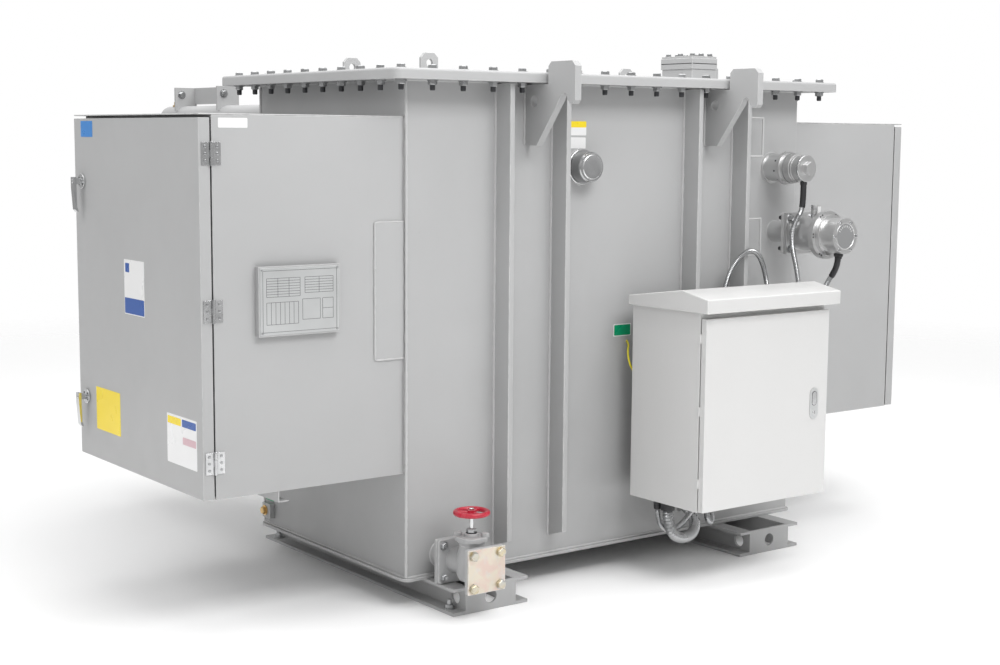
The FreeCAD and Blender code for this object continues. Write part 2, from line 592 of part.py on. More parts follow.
# ---------------------------------------------------------------- control box
def build_control_box():
    """Wall-hung steel box with a sloping hood and a hinged door."""
    outer = box(BOX_LEFT, BOX_RIGHT, BOX_FRONT, BOX_BACK, BOX_BOTTOM, BOX_TOP)
    inner = box(BOX_LEFT + BOX_SHEET, BOX_RIGHT - BOX_SHEET, BOX_FRONT + BOX_SHEET, BOX_BACK - BOX_SHEET,
                BOX_BOTTOM + BOX_SHEET, BOX_TOP - BOX_SHEET)
    mouth = box(BOX_LEFT + BOX_RIM, BOX_RIGHT - BOX_RIM, BOX_FRONT - 1, BOX_FRONT + 2 * BOX_SHEET,
                BOX_BOTTOM + BOX_RIM, BOX_DOOR_TOP - BOX_RIM)
    save("control_box_body", outer.cut(inner).cut(mouth))

    back = BOX_FRONT - DOOR_GAP
    low = BOX_BOTTOM + 3
    sheet = BOX_DOOR_SHEET
    door = box(BOX_DOOR_LEFT, BOX_DOOR_RIGHT, BOX_DOOR_FACE, back, low, BOX_DOOR_TOP)
    hollow = box(BOX_DOOR_LEFT + sheet, BOX_DOOR_RIGHT - sheet, BOX_DOOR_FACE + sheet, back + 1,
                 low + sheet, BOX_DOOR_TOP - sheet)
    pieces = [door.cut(hollow)]
    for z in BOX_PIVOTS_Z:
        end = z + BOX_PIVOT_HEIGHT
        pieces.append(rod((BOX_PIVOT_X, back, z), (BOX_PIVOT_X, back, end), BOX_PIVOT_R))
        pieces.append(box(BOX_PIVOT_X, BOX_DOOR_LEFT + sheet, back - sheet, back, z, end))
    save("control_box_door", fuse(pieces))

    outline = [(HOOD_FRONT, BOX_TOP), (HOOD_FRONT, HOOD_FASCIA_TOP), (HOOD_RIDGE_Y, HOOD_RIDGE),
               (HOOD_BACK, HOOD_REAR_TOP), (HOOD_BACK, BOX_TOP)]
    hood = prism_x(outline, HOOD_LEFT, HOOD_RIGHT)
    pocket = [(HOOD_FRONT + HOOD_SKIN, BOX_TOP - 1), (HOOD_FRONT + HOOD_SKIN, HOOD_FASCIA_TOP - HOOD_SKIN),
              (HOOD_RIDGE_Y, HOOD_RIDGE - HOOD_SKIN), (HOOD_BACK - HOOD_SKIN, HOOD_REAR_TOP - HOOD_SKIN),
              (HOOD_BACK - HOOD_SKIN, BOX_TOP - 1)]
    hood = hood.cut(prism_x(pocket, HOOD_LEFT + HOOD_SKIN, HOOD_RIGHT - HOOD_SKIN))
    deck = box(HOOD_LEFT + HOOD_SKIN, HOOD_RIGHT - HOOD_SKIN, HOOD_FRONT + HOOD_SKIN, HOOD_BACK - HOOD_SKIN,
               BOX_TOP, BOX_TOP + HOOD_SKIN)
    save("control_box_hood", fuse([hood, deck]))

    packers = []
    for stiffener_x in STIFFENERS_X[2:]:
        for low in PACKERS_Z:
            packers.append(box(stiffener_x, stiffener_x + STIFFENER_THICKNESS, BOX_BACK,
                               TANK_FRONT - STIFFENER_DEPTH, low, low + PACKER_HEIGHT))
    save("control_box_packers", packers)


# ---------------------------------------------------------------- gauges and tap changer
def stack(x, z, start_y, steps):
    """Coaxial discs along -Y from a wall; each step is (radius, end distance)."""
    pieces = []
    from_d = 0.0
    for radius, to_d in steps:
        pieces.append(rod((x, start_y - from_d, z), (x, start_y - to_d, z), radius))
        from_d = to_d
    return fuse(pieces)


def square_flange(x, z, half, near_y, far_y):
    """Square flange plate centred on (x, z)."""
    return box(x - half, x + half, near_y, far_y, z - half, z + half)


def build_instruments():
    """Tap changer cap, winding temperature gauge and oil level gauge on the front wall."""
    save("tap_changer_cap", stack(TAP_CHANGER_X, TAP_CHANGER_Z, TANK_FRONT, CAP_STEPS))
    gauge = stack(TEMPERATURE_X, TEMPERATURE_Z, TANK_FRONT, TEMPERATURE_STEPS)
    end = (TEMPERATURE_X, TANK_FRONT - TEMPERATURE_REACH, TEMPERATURE_Z)
    boss = hexagon(end, (0, -1, 0), TEMPERATURE_HEX, TEMPERATURE_HEX_DEPTH)
    gauge = gauge.fuse(boss).removeSplitter()
    save("temperature_gauge", gauge)

    flange_y = TANK_FRONT - LEVEL_PIPE_LENGTH
    joint_y = flange_y - LEVEL_FLANGE_THICKNESS
    body_y = joint_y - LEVEL_FLANGE_THICKNESS
    pipe = rod((LEVEL_X, TANK_FRONT, LEVEL_Z), (LEVEL_X, flange_y, LEVEL_Z), LEVEL_PIPE_R)
    pipe_flange = square_flange(LEVEL_X, LEVEL_Z, LEVEL_FLANGE_HALF, flange_y, joint_y)
    save("level_gauge_pipe", fuse([pipe, pipe_flange]))
    breather_y = body_y - BREATHER_OUT
    breather = rod((LEVEL_X, breather_y, LEVEL_Z + 56), (LEVEL_X, breather_y, LEVEL_Z + 102), BREATHER_R)
    level = fuse([square_flange(LEVEL_X, LEVEL_Z, LEVEL_FLANGE_HALF, joint_y, body_y),
                  stack(LEVEL_X, LEVEL_Z, body_y, LEVEL_STEPS), breather])
    save("level_gauge", level)
    return gauge, level


def build_conduits(temperature_gauge, level_gauge):
    """Flexible conduits and the earth wire, each held at both ends."""
    tank = box(TANK_LEFT, TANK_RIGHT, TANK_FRONT, TANK_REAR, TANK_BOTTOM, COVER_UNDERSIDE)
    control_box = box(BOX_LEFT, BOX_RIGHT, BOX_FRONT, BOX_BACK, BOX_BOTTOM, BOX_TOP)

    from_temperature = tube(TEMPERATURE_ROUTE, THIN_CONDUIT_R).cut(temperature_gauge).cut(control_box)
    from_level = tube(LEVEL_ROUTE, THIN_CONDUIT_R).cut(level_gauge).cut(control_box)
    save("gauge_conduits", [from_temperature, from_level])

    runs = []
    for route, radius in ((ARCH_ROUTE, THIN_CONDUIT_R), (WIDE_ROUTE, WIDE_CONDUIT_R),
                          (MIDDLE_ROUTE, MIDDLE_CONDUIT_R)):
        runs.append(tube(route, radius).cut(tank).cut(control_box))
    save("box_conduits", runs)
    save("earth_wire", tube(EARTH_ROUTE, EARTH_WIRE_R, 0.4).cut(tank).cut(control_box))


# ---------------------------------------------------------------- drain valve
def build_drain():
    """Drain stub, flanged valve with bonnet and stem, handwheel and blank plate."""
    half = DRAIN_FLANGE / 2.0
    near_face = VALVE_NEAR + VALVE_FLANGE
    stub = fuse([rod((DRAIN_X, TANK_FRONT, DRAIN_Z), (DRAIN_X, VALVE_NEAR, DRAIN_Z), STUB_R),
                 square_flange(DRAIN_X, DRAIN_Z, half, near_face, VALVE_NEAR)])
    save("drain_stub", stub)

    bonnet_z = DRAIN_Z + BONNET_UP
    bonnet_top = bonnet_z + BONNET_THICKNESS
    gland_top = bonnet_top + GLAND_HEIGHT
    far_face = VALVE_FAR + VALVE_FLANGE + 2
    body = fuse([
        square_flange(DRAIN_X, DRAIN_Z, half, VALVE_NEAR, VALVE_NEAR - VALVE_FLANGE),
        rod((DRAIN_X, VALVE_NEAR - VALVE_FLANGE, DRAIN_Z), (DRAIN_X, far_face, DRAIN_Z), VALVE_R),
        rod((DRAIN_X, VALVE_Y, DRAIN_Z - BULB_DEPTH), (DRAIN_X, VALVE_Y, bonnet_z), BULB_R),
        square_flange(DRAIN_X, DRAIN_Z, half, far_face, VALVE_FAR),
        rounded_plate(DRAIN_X - BONNET_HALF, DRAIN_X + BONNET_HALF, VALVE_Y - BONNET_HALF,
                      VALVE_Y + BONNET_HALF, bonnet_z, bonnet_top, BONNET_CORNER_R),
        rod((DRAIN_X, VALVE_Y, bonnet_top), (DRAIN_X, VALVE_Y, gland_top), GLAND_R),
        hexagon((DRAIN_X, VALVE_Y, gland_top), (0, 0, 1), GLAND_NUT, GLAND_HEIGHT),
        rod((DRAIN_X, VALVE_Y, bonnet_top), (DRAIN_X, VALVE_Y, WHEEL_Z + 14), STEM_R)])
    save("drain_valve", body)

    rim_centre_r = WHEEL_R - WHEEL_RIM_R
    hub = rod((DRAIN_X, VALVE_Y, WHEEL_Z - 16), (DRAIN_X, VALVE_Y, WHEEL_Z + 8), WHEEL_HUB_R)
    pieces = [Part.makeTorus(rim_centre_r, WHEEL_RIM_R, Vec(DRAIN_X, VALVE_Y, WHEEL_Z)), hub]
    for turn in range(3):
        angle = math.radians(30 + 120 * turn)
        end = (DRAIN_X + rim_centre_r * math.cos(angle), VALVE_Y + rim_centre_r * math.sin(angle), WHEEL_Z)
        pieces.append(rod((DRAIN_X, VALVE_Y, WHEEL_Z), end, SPOKE_R))
    bore = rod((DRAIN_X, VALVE_Y, WHEEL_Z - 20), (DRAIN_X, VALVE_Y, WHEEL_Z + 20), STEM_R + 0.3)
    save("drain_handwheel", fuse(pieces).cut(bore))
    blank_far = VALVE_FAR - BLANK_THICKNESS
    save("drain_blank_plate", square_flange(DRAIN_X, DRAIN_Z, BLANK_HALF, VALVE_FAR, blank_far))


# ---------------------------------------------------------------- radiators
def build_radiators():
    """Two banks of flat panels on round headers that stand out from the rear wall."""
    headers = []
    lugs = []
    bars = []
    for side, x in zip(("left", "right"), RADIATOR_HEADERS_X):
        cutters = []
        for z in (HEADER_BOTTOM_Z, HEADER_TOP_Z):
            pipe = rod((x, TANK_REAR, z), (x, HEADER_END, z), HEADER_R)
            dome = Part.makeSphere(HEADER_R, Vec(x, HEADER_END, z))
            flange = rod((x, TANK_REAR + 30, z), (x, TANK_REAR + 58, z), 80.0)
            bore_r = HEADER_R - HEADER_WALL
            bore = fuse([rod((x, TANK_REAR - 1, z), (x, HEADER_END, z), bore_r),
                         Part.makeSphere(bore_r, Vec(x, HEADER_END, z))])
            headers.append(fuse([pipe, dome, flange]).cut(bore))
            cutters.append(rod((x, TANK_REAR, z), (x, HEADER_END, z), HEADER_R))
        panels = []
        left = x - PANEL_WIDTH / 2
        right = x + PANEL_WIDTH / 2
        for index in range(PANEL_COUNT):
            y = PANEL_FIRST_Y + index * PANEL_PITCH
            panel = box(left, right, y, y + PANEL_THICKNESS, PANEL_BOTTOM, PANEL_TOP)
            along = [e for e in panel.Edges if abs(e.Vertexes[0].Y - e.Vertexes[-1].Y) > PANEL_THICKNESS / 2]
            panel = panel.makeFillet(PANEL_CORNER_R, along)
            oil = box(left + PANEL_SEAM, right - PANEL_SEAM, y + PANEL_SHEET,
                      y + PANEL_THICKNESS - PANEL_SHEET, PANEL_BOTTOM + PANEL_SEAM, PANEL_TOP - PANEL_SHEET)
            panels.append(panel.cut(oil).cut(cutters[0]).cut(cutters[1]))
        save(f"radiator_{side}_panels", panels)
        lug_top = HEADER_TOP_Z + HEADER_R + RADIATOR_LUG_UP
        saddle = HEADER_TOP_Z + HEADER_R * 0.6
        half = RADIATOR_LUG_HALF
        thick = RADIATOR_LUG_THICKNESS
        near, far = RADIATOR_LUGS_Y
        for y in RADIATOR_LUGS_Y:
            lugs.append(box(x - half, x + half, y, y + thick, saddle, lug_top).cut(cutters[1]))
        bars.append(box(x + half - thick, x + half, near + thick, far, HEADER_TOP_Z + HEADER_R + 8, lug_top))
    save("radiator_headers", headers)
    save("radiator_lifting_bars", lugs + bars)


os.makedirs("parts", exist_ok=True)
build_base()
build_tank()
build_core()
build_tank_fittings()
build_small_fittings()
cabinet("hv", HV_MOUTH, HV_DOOR_FACE, TANK_LEFT)
cabinet("lv", LV_MOUTH, LV_DOOR_FACE, TANK_RIGHT)
build_nameplate()
build_control_box()
temperature_gauge_body, level_gauge_body = build_instruments()
build_conduits(temperature_gauge_body, level_gauge_body)
build_drain()
build_radiators()
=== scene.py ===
"""Oil-filled power transformer with terminal cabinets, gauges, a drain valve and radiator banks."""

import json
import logging
import math
from dataclasses import dataclass, field
from enum import Enum

import bmesh
import bpy
from mathutils import Matrix, Vector

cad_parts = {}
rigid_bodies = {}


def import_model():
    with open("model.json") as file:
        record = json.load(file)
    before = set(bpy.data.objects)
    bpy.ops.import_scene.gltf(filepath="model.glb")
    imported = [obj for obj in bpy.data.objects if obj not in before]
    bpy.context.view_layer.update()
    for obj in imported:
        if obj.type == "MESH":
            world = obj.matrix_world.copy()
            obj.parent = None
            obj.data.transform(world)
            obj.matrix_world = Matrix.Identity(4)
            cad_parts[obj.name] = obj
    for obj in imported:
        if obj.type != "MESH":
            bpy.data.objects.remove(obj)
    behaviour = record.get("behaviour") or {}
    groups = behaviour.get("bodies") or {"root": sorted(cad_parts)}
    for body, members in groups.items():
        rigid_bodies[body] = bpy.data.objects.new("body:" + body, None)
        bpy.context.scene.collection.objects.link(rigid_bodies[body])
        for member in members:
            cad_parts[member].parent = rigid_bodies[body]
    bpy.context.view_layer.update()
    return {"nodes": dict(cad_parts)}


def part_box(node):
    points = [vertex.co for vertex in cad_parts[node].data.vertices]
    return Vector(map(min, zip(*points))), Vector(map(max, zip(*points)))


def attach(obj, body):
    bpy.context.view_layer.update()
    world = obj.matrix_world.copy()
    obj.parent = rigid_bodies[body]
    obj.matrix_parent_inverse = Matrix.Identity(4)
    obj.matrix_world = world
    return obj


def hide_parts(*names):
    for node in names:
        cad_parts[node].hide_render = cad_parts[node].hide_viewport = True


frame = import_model()
HOUSING = "housing"
log = logging.getLogger("transformer")

Point = tuple[float, float, float]
Colour = tuple[float, float, float]
X_AXIS = Vector((1.0, 0.0, 0.0))
Y_AXIS = Vector((0.0, 1.0, 0.0))
Z_AXIS = Vector((0.0, 0.0, 1.0))


class Slot(Enum):
    """The record's material slots."""

    GREY_PAINT = "grey_paint"
    BOX_PAINT = "box_paint"
    RED_PAINT = "red_paint"
    YELLOW_ZINC = "yellow_zinc"
    BRIGHT_STEEL = "bright_steel"
    CONDUIT_STEEL = "conduit_steel"
    CAST_ALLOY = "cast_alloy"
    ENGRAVED_PLATE = "engraved_plate"
    WIRE_SHEATH = "wire_sheath"
    CORE_STEEL = "core_steel"


class Side(Enum):
    """Which end of the tank a terminal cabinet stands at; the value is its outward X direction."""

    HIGH_VOLTAGE = -1.0
    LOW_VOLTAGE = 1.0


def scaled(colour: Colour, share: float) -> tuple[float, float, float, float]:
    """A colour times a share, with full alpha."""
    return (min(1.0, colour[0] * share), min(1.0, colour[1] * share), min(1.0, colour[2] * share), 1.0)


# ------------------------------------------------------------------ finishes
class Shade:
    """Builds the node tree of one material."""

    def __init__(self, name: str) -> None:
        """Starts a material with a Principled shader.

        Args:
            name: the material's name.
        """
        self.material = bpy.data.materials.new(name)
        self.material.use_nodes = True
        self.tree = self.material.node_tree
        self.shader = self.tree.nodes["Principled BSDF"]
        self.place = self.add("ShaderNodeTexCoord").outputs["Object"]

    def add(self, kind: str, **settings: object) -> bpy.types.Node:
        """Adds a node and sets its properties.

        Args:
            kind: the node's class name.
            settings: property names and values.

        Returns:
            The new node.
        """
        node = self.tree.nodes.new(kind)
        for key, value in settings.items():
            setattr(node, key, value)
        return node

    def link(self, source: bpy.types.NodeSocket, target: bpy.types.NodeSocket) -> None:
        """Joins an output to an input."""
        self.tree.links.new(source, target)

    def stretched(self, scale: Point) -> bpy.types.NodeSocket:
        """Object coordinates stretched by a scale on each axis."""
        node = self.add("ShaderNodeMapping")
        node.inputs["Scale"].default_value = scale
        self.link(self.place, node.inputs["Vector"])
        return node.outputs["Vector"]

    def noise(self, scale: float, detail: float = 3.0, place: bpy.types.NodeSocket | None = None,
              distortion: float = 0.0) -> bpy.types.NodeSocket:
        """Soft random field, about 0.5.

        Args:
            scale: features to a metre.
            detail: octaves.
            place: coordinates, or Object coordinates when None.
            distortion: how far the field is swirled.

        Returns:
            The field's output.
        """
        node = self.add("ShaderNodeTexNoise")
        node.inputs["Scale"].default_value = scale
        node.inputs["Detail"].default_value = detail
        node.inputs["Distortion"].default_value = distortion
        self.link(place or self.place, node.inputs["Vector"])
        return node.outputs[0]

    def span(self, source: bpy.types.NodeSocket, start: float, end: float, low: float,
             high: float) -> bpy.types.NodeSocket:
        """Maps start..end to low..high and clamps."""
        node = self.add("ShaderNodeMapRange")
        for index, value in enumerate((start, end, low, high), 1):
            node.inputs[index].default_value = value
        self.link(source, node.inputs[0])
        return node.outputs[0]

    def times(self, first: bpy.types.NodeSocket, second: bpy.types.NodeSocket) -> bpy.types.NodeSocket:
        """Product of two fields."""
        node = self.add("ShaderNodeMath", operation="MULTIPLY")
        self.link(first, node.inputs[0])
        self.link(second, node.inputs[1])
        return node.outputs[0]

    def blend(self, factor: bpy.types.NodeSocket, first: object, second: object) -> bpy.types.NodeSocket:
        """Mixes two colours.

        Args:
            factor: 0 gives the first, 1 the second.
            first: a colour or a colour output.
            second: a colour or a colour output.

        Returns:
            The mixed colour's output.
        """
        node = self.add("ShaderNodeMix", data_type="RGBA")
        self.link(factor, node.inputs[0])
        for index, value in ((6, first), (7, second)):
            if isinstance(value, bpy.types.NodeSocket):
                self.link(value, node.inputs[index])
            else:
                node.inputs[index].default_value = value
        return node.outputs[2]

    def attribute(self, name: str) -> bpy.types.NodeSocket:
        """A named attribute of the mesh, as a number."""
        return self.add("ShaderNodeAttribute", attribute_name=name).outputs["Fac"]

    def bump(self, height: bpy.types.NodeSocket, strength: float, distance: float,
             under: bpy.types.NodeSocket | None = None) -> bpy.types.NodeSocket:
        """Bump from a height field.

        Args:
            height: the field.
            strength: 0 to 1.
            distance: depth in metres.
            under: another bump to add to.

        Returns:
            The normal's output.
        """
        node = self.add("ShaderNodeBump")
        node.inputs["Strength"].default_value = strength
        node.inputs["Distance"].default_value = distance
        self.link(height, node.inputs["Height"])
        if under is not None:
            self.link(under, node.inputs["Normal"])
        return node.outputs["Normal"]


@dataclass(frozen=True)
class Finish:
    """Painted surface: mottled colour, orange peel, worn edges with a painted highlight and uneven gloss."""

    name: str
    slot: Slot
    colour: Colour
    rough: tuple[float, float] = (0.36, 0.5)
    metallic: float = 0.0
    specular: float = 0.5
    coat: float = 0.0
    mottle: float = 0.03
    mottle_scale: float = 1.7
    grain_scale: float = 330.0
    grain_depth: float = 0.00035
    grain_strength: float = 0.16
    worn_and_highlight: Colour = (0.72, 0.72, 0.71)
    wear: float = 0.35
    painted_low_shade: float = 0.0

    def material(self) -> bpy.types.Material:
        """The finish's material, made once."""
        known = bpy.data.materials.get(self.name)
        if known is not None:
            return known
        shade = Shade(self.name)
        shade.shader.inputs["Metallic"].default_value = self.metallic
        shade.shader.inputs["Specular IOR Level"].default_value = self.specular
        shade.shader.inputs["Coat Weight"].default_value = self.coat
        shade.shader.inputs["Coat Roughness"].default_value = 0.18
        shade.link(self.tint(shade), shade.shader.inputs["Base Color"])
        gloss = shade.span(shade.noise(9.0, 5.0), 0.32, 0.68, self.rough[0], self.rough[1])
        shade.link(gloss, shade.shader.inputs["Roughness"])
        shade.link(self.relief(shade), shade.shader.inputs["Normal"])
        return shade.material

    def tint(self, shade: Shade) -> bpy.types.NodeSocket:
        """Colour with broad mottling, fine flecks, painted shade low down and wear with a painted highlight on the
        edges.

        Args:
            shade: the material under construction.

        Returns:
            The colour output.
        """
        field = shade.span(shade.noise(self.mottle_scale, 4.0, distortion=0.4), 0.3, 0.7, 0.0, 1.0)
        colour = shade.blend(field, scaled(self.colour, 1 - self.mottle), scaled(self.colour, 1 + self.mottle))
        fleck = shade.span(shade.noise(140.0, 2.0), 0.62, 0.8, 0.0, 0.1)
        colour = shade.blend(fleck, colour, scaled(self.colour, 0.7))
        # Painted shade: the colour darkens towards the bottom of the object, in broken clouds.
        if self.painted_low_shade:
            height = shade.add("ShaderNodeSeparateXYZ")
            shade.link(shade.place, height.inputs[0])
            low = shade.span(height.outputs[2], 0.02, 0.95, self.painted_low_shade, 0.0)
            cloud = shade.span(shade.noise(5.0, 6.0), 0.3, 0.7, 0.6, 1.0)
            colour = shade.blend(shade.times(low, cloud), colour, (0.16, 0.155, 0.15, 1.0))
        # Painted highlight with wear: the rounded edges turn lighter in patches.
        rub_and_highlight = shade.span(shade.noise(38.0, 4.0), 0.36, 0.62, 0.2 * self.wear, self.wear)
        return shade.blend(shade.times(shade.attribute("wear"), rub_and_highlight), colour, (*self.worn_and_highlight, 1.0))

    def relief(self, shade: Shade) -> bpy.types.NodeSocket:
        """Orange peel over a faint unevenness of the sheet."""
        sheet = shade.bump(shade.noise(4.5, 2.0), 0.05, 0.004)
        return shade.bump(shade.noise(self.grain_scale, 2.0), self.grain_strength, self.grain_depth, sheet)


@dataclass(frozen=True)
class BrushedMetal(Finish):
    """Bare metal with fine lines along one axis, given by a small scale on that axis."""

    lines: Point = (900.0, 900.0, 30.0)

    def relief(self, shade: Shade) -> bpy.types.NodeSocket:
        """Fine polishing lines over soft dents."""
        soft = shade.bump(shade.noise(30.0, 2.0), 0.08, 0.002)
        return shade.bump(shade.noise(1.0, 2.0, shade.stretched(self.lines)), self.grain_strength, 0.0002, soft)


@dataclass(frozen=True)
class CastMetal(Finish):
    """Sand-cast surface with pits under thin paint."""

    pit_scale: float = 240.0

    def relief(self, shade: Shade) -> bpy.types.NodeSocket:
        """Coarse pits and lumps."""
        cells = shade.add("ShaderNodeTexVoronoi")
        cells.inputs["Scale"].default_value = self.pit_scale
        shade.link(shade.place, cells.inputs["Vector"])
        lumps = shade.bump(shade.noise(60.0, 3.0), 0.25, 0.0012)
        return shade.bump(cells.outputs["Distance"], self.grain_strength, 0.0005, lumps)


@dataclass(frozen=True)
class PlatedZinc(Finish):
    """Yellow-passivated zinc, with rainbow clouds from straw to pink and pale blue."""

    cloud: Colour = (0.66, 0.50, 0.45)
    pale: Colour = (0.60, 0.61, 0.60)

    def tint(self, shade: Shade) -> bpy.types.NodeSocket:
        """Straw, pink and pale patches."""
        pink = shade.span(shade.noise(16.0, 4.0, distortion=1.2), 0.42, 0.62, 0.0, 0.75)
        colour = shade.blend(pink, scaled(self.colour, 1.0), (*self.cloud, 1.0))
        pale = shade.span(shade.noise(26.0, 3.0), 0.52, 0.7, 0.0, 0.6)
        colour = shade.blend(pale, colour, (*self.pale, 1.0))
        # Painted highlight with wear: the rounded edges turn lighter in patches.
        rub_and_highlight = shade.span(shade.noise(90.0, 3.0), 0.4, 0.6, 0.3, 1.0)
        return shade.blend(shade.times(shade.attribute("wear"), rub_and_highlight), colour, (*self.worn_and_highlight, 1.0))


# The grey enamel darkens towards the bottom as painted shade.
GREY = Finish("grey_enamel", Slot.GREY_PAINT, (0.43, 0.432, 0.434), painted_low_shade=0.24)
DARK_GREY = Finish("grey_enamel_shaded", Slot.GREY_PAINT, (0.23, 0.232, 0.235))
WELD = Finish("grey_enamel_weld", Slot.GREY_PAINT, (0.50, 0.50, 0.50), (0.26, 0.38), grain_scale=420.0,
              grain_strength=0.4)
IVORY = Finish("box_enamel", Slot.BOX_PAINT, (0.625, 0.623, 0.618), (0.3, 0.4), mottle=0.012,
               grain_scale=520.0, grain_depth=0.0003, worn_and_highlight=(0.85, 0.85, 0.84), wear=0.25)
RED = Finish("red_enamel", Slot.RED_PAINT, (0.44, 0.006, 0.028), (0.22, 0.34), coat=0.3, mottle=0.1,
             mottle_scale=25.0, worn_and_highlight=(0.7, 0.08, 0.07), wear=0.4)
ZINC = PlatedZinc("yellow_zinc_plate", Slot.YELLOW_ZINC, (0.66, 0.60, 0.50), (0.26, 0.44), metallic=0.7,
                  grain_scale=200.0, worn_and_highlight=(0.85, 0.85, 0.85), wear=0.7)
BOLT_ZINC = PlatedZinc("yellow_zinc_bolt", Slot.YELLOW_ZINC, (0.58, 0.50, 0.34), (0.22, 0.36), metallic=0.9,
                       cloud=(0.50, 0.54, 0.58), pale=(0.42, 0.44, 0.46))
STEEL = BrushedMetal("brushed_steel", Slot.BRIGHT_STEEL, (0.60, 0.605, 0.61), (0.16, 0.3), metallic=1.0,
                     mottle=0.12, mottle_scale=22.0, worn_and_highlight=(0.95, 0.95, 0.95), wear=0.6)
CHROME = BrushedMetal("polished_steel", Slot.BRIGHT_STEEL, (0.58, 0.585, 0.59), (0.05, 0.14), metallic=1.0,
                      mottle=0.08, mottle_scale=24.0, grain_strength=0.05, worn_and_highlight=(1.0, 1.0, 1.0), wear=0.6)
PLATED = Finish("plated_fastener", Slot.BRIGHT_STEEL, (0.42, 0.425, 0.43), (0.22, 0.36), metallic=0.95,
                mottle=0.12, mottle_scale=20.0, grain_scale=700.0)
BLACKENED = Finish("blackened_fastener", Slot.BRIGHT_STEEL, (0.06, 0.061, 0.065), (0.32, 0.48), metallic=0.6,
                   mottle=0.2, mottle_scale=20.0, worn_and_highlight=(0.3, 0.3, 0.3))
BRASS = BrushedMetal("brass_fastener", Slot.YELLOW_ZINC, (0.74, 0.52, 0.24), (0.25, 0.4), metallic=1.0)
CONDUIT = BrushedMetal("conduit_strip", Slot.CONDUIT_STEEL, (0.40, 0.405, 0.41), (0.2, 0.32), metallic=1.0,
                       mottle_scale=30.0)
RUBBER = Finish("black_rubber", Slot.CONDUIT_STEEL, (0.018, 0.018, 0.02), (0.45, 0.6), mottle=0.15,
                mottle_scale=40.0, worn_and_highlight=(0.08, 0.08, 0.08))
ALLOY = CastMetal("cast_alloy", Slot.CAST_ALLOY, (0.52, 0.525, 0.53), (0.28, 0.42), metallic=0.12,
                  grain_strength=0.12, worn_and_highlight=(0.85, 0.85, 0.86), wear=0.6)
# The cast valve darkens a little towards the bottom as painted shade.
VALVE_CAST = CastMetal("cast_iron_enamel", Slot.GREY_PAINT, (0.40, 0.402, 0.405), (0.34, 0.48),
                       grain_strength=0.3, pit_scale=170.0, painted_low_shade=0.05)
ENGRAVED = BrushedMetal("engraved_metal", Slot.ENGRAVED_PLATE, (0.60, 0.61, 0.61), (0.3, 0.42), metallic=0.7,
                        mottle_scale=9.0, lines=(40.0, 900.0, 900.0))
INK = Finish("plate_ink", Slot.ENGRAVED_PLATE, (0.09, 0.09, 0.1), (0.4, 0.5), metallic=0.2)
YELLOW_SHEATH = Finish("yellow_sheath", Slot.WIRE_SHEATH, (0.72, 0.62, 0.03), (0.35, 0.5), mottle_scale=60.0)
WHITE_FILM = Finish("white_film", Slot.GREY_PAINT, (0.80, 0.80, 0.80), (0.25, 0.35), grain_strength=0.05)
YELLOW_FILM = Finish("yellow_film", Slot.GREY_PAINT, (0.86, 0.66, 0.02), (0.25, 0.35), grain_strength=0.05)
BLUE_FILM = Finish("blue_film", Slot.GREY_PAINT, (0.03, 0.10, 0.36), (0.25, 0.35), grain_strength=0.05)
SKY_FILM = Finish("sky_film", Slot.GREY_PAINT, (0.03, 0.22, 0.60), (0.25, 0.35), grain_strength=0.05)
ROSE_FILM = Finish("rose_film", Slot.GREY_PAINT, (0.62, 0.42, 0.46), (0.25, 0.35), grain_strength=0.05)
GREEN_FILM = Finish("green_film", Slot.GREY_PAINT, (0.0, 0.30, 0.13), (0.25, 0.35), grain_strength=0.05)
CORE = CastMetal("core_lamination", Slot.CORE_STEEL, (0.2, 0.2, 0.21), (0.5, 0.6), metallic=0.5)


# ------------------------------------------------------------------ meshes
def round_edges(mesh: bmesh.types.BMesh, width: float, threshold: float = 30.0, segments: int = 2) -> None:
    """Rounds the sharp edges and marks the new faces for wear and a painted highlight.

    Args:
        mesh: the mesh to change.
        width: the round's width in metres.
        threshold: edges that turn by more than this, in degrees, are rounded.
        segments: faces across the round.
    """
    wear = mesh.loops.layers.float.new("wear")
    sharp = [edge for edge in mesh.edges
             if edge.is_manifold and edge.calc_face_angle(0.0) > math.radians(threshold)]
    if not sharp:
        return
    result = bmesh.ops.bevel(mesh, geom=sharp, offset=width, offset_type="OFFSET", segments=segments,
                             profile=0.5, affect="EDGES", clamp_overlap=True)
    for face in result["faces"]:
        for loop in face.loops:
            loop[wear] = 1.0


def piece(mesh: bpy.types.Mesh, name: str, finish: Finish, body: str = HOUSING,
          nodes: tuple[str, ...] = (), angle: float = 33.0, weighted: bool = False) -> bpy.types.Object:
    """Turns a mesh into a finished piece that rides on a body.

    Args:
        mesh: the mesh, in place.
        name: the piece's name.
        finish: its finish.
        body: the body that it moves with.
        nodes: the CAD nodes that it stands for.
        angle: edges sharper than this stay sharp, in degrees.
        weighted: whether normals follow the larger faces.

    Returns:
        The new object.
    """
    mesh.materials.clear()
    mesh.materials.append(finish.material())
    mesh.shade_smooth()
    mesh.set_sharp_from_angle(angle=math.radians(angle))
    obj = bpy.data.objects.new(name, mesh)
    bpy.context.scene.collection.objects.link(obj)
    if weighted:
        normals = obj.modifiers.new("normals", "WEIGHTED_NORMAL")
        normals.keep_sharp = True
    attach(obj, body)
    if nodes:
        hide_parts(*nodes)
    log.info("%s: %d faces, rides on %s", name, len(mesh.polygons), body)
    return obj


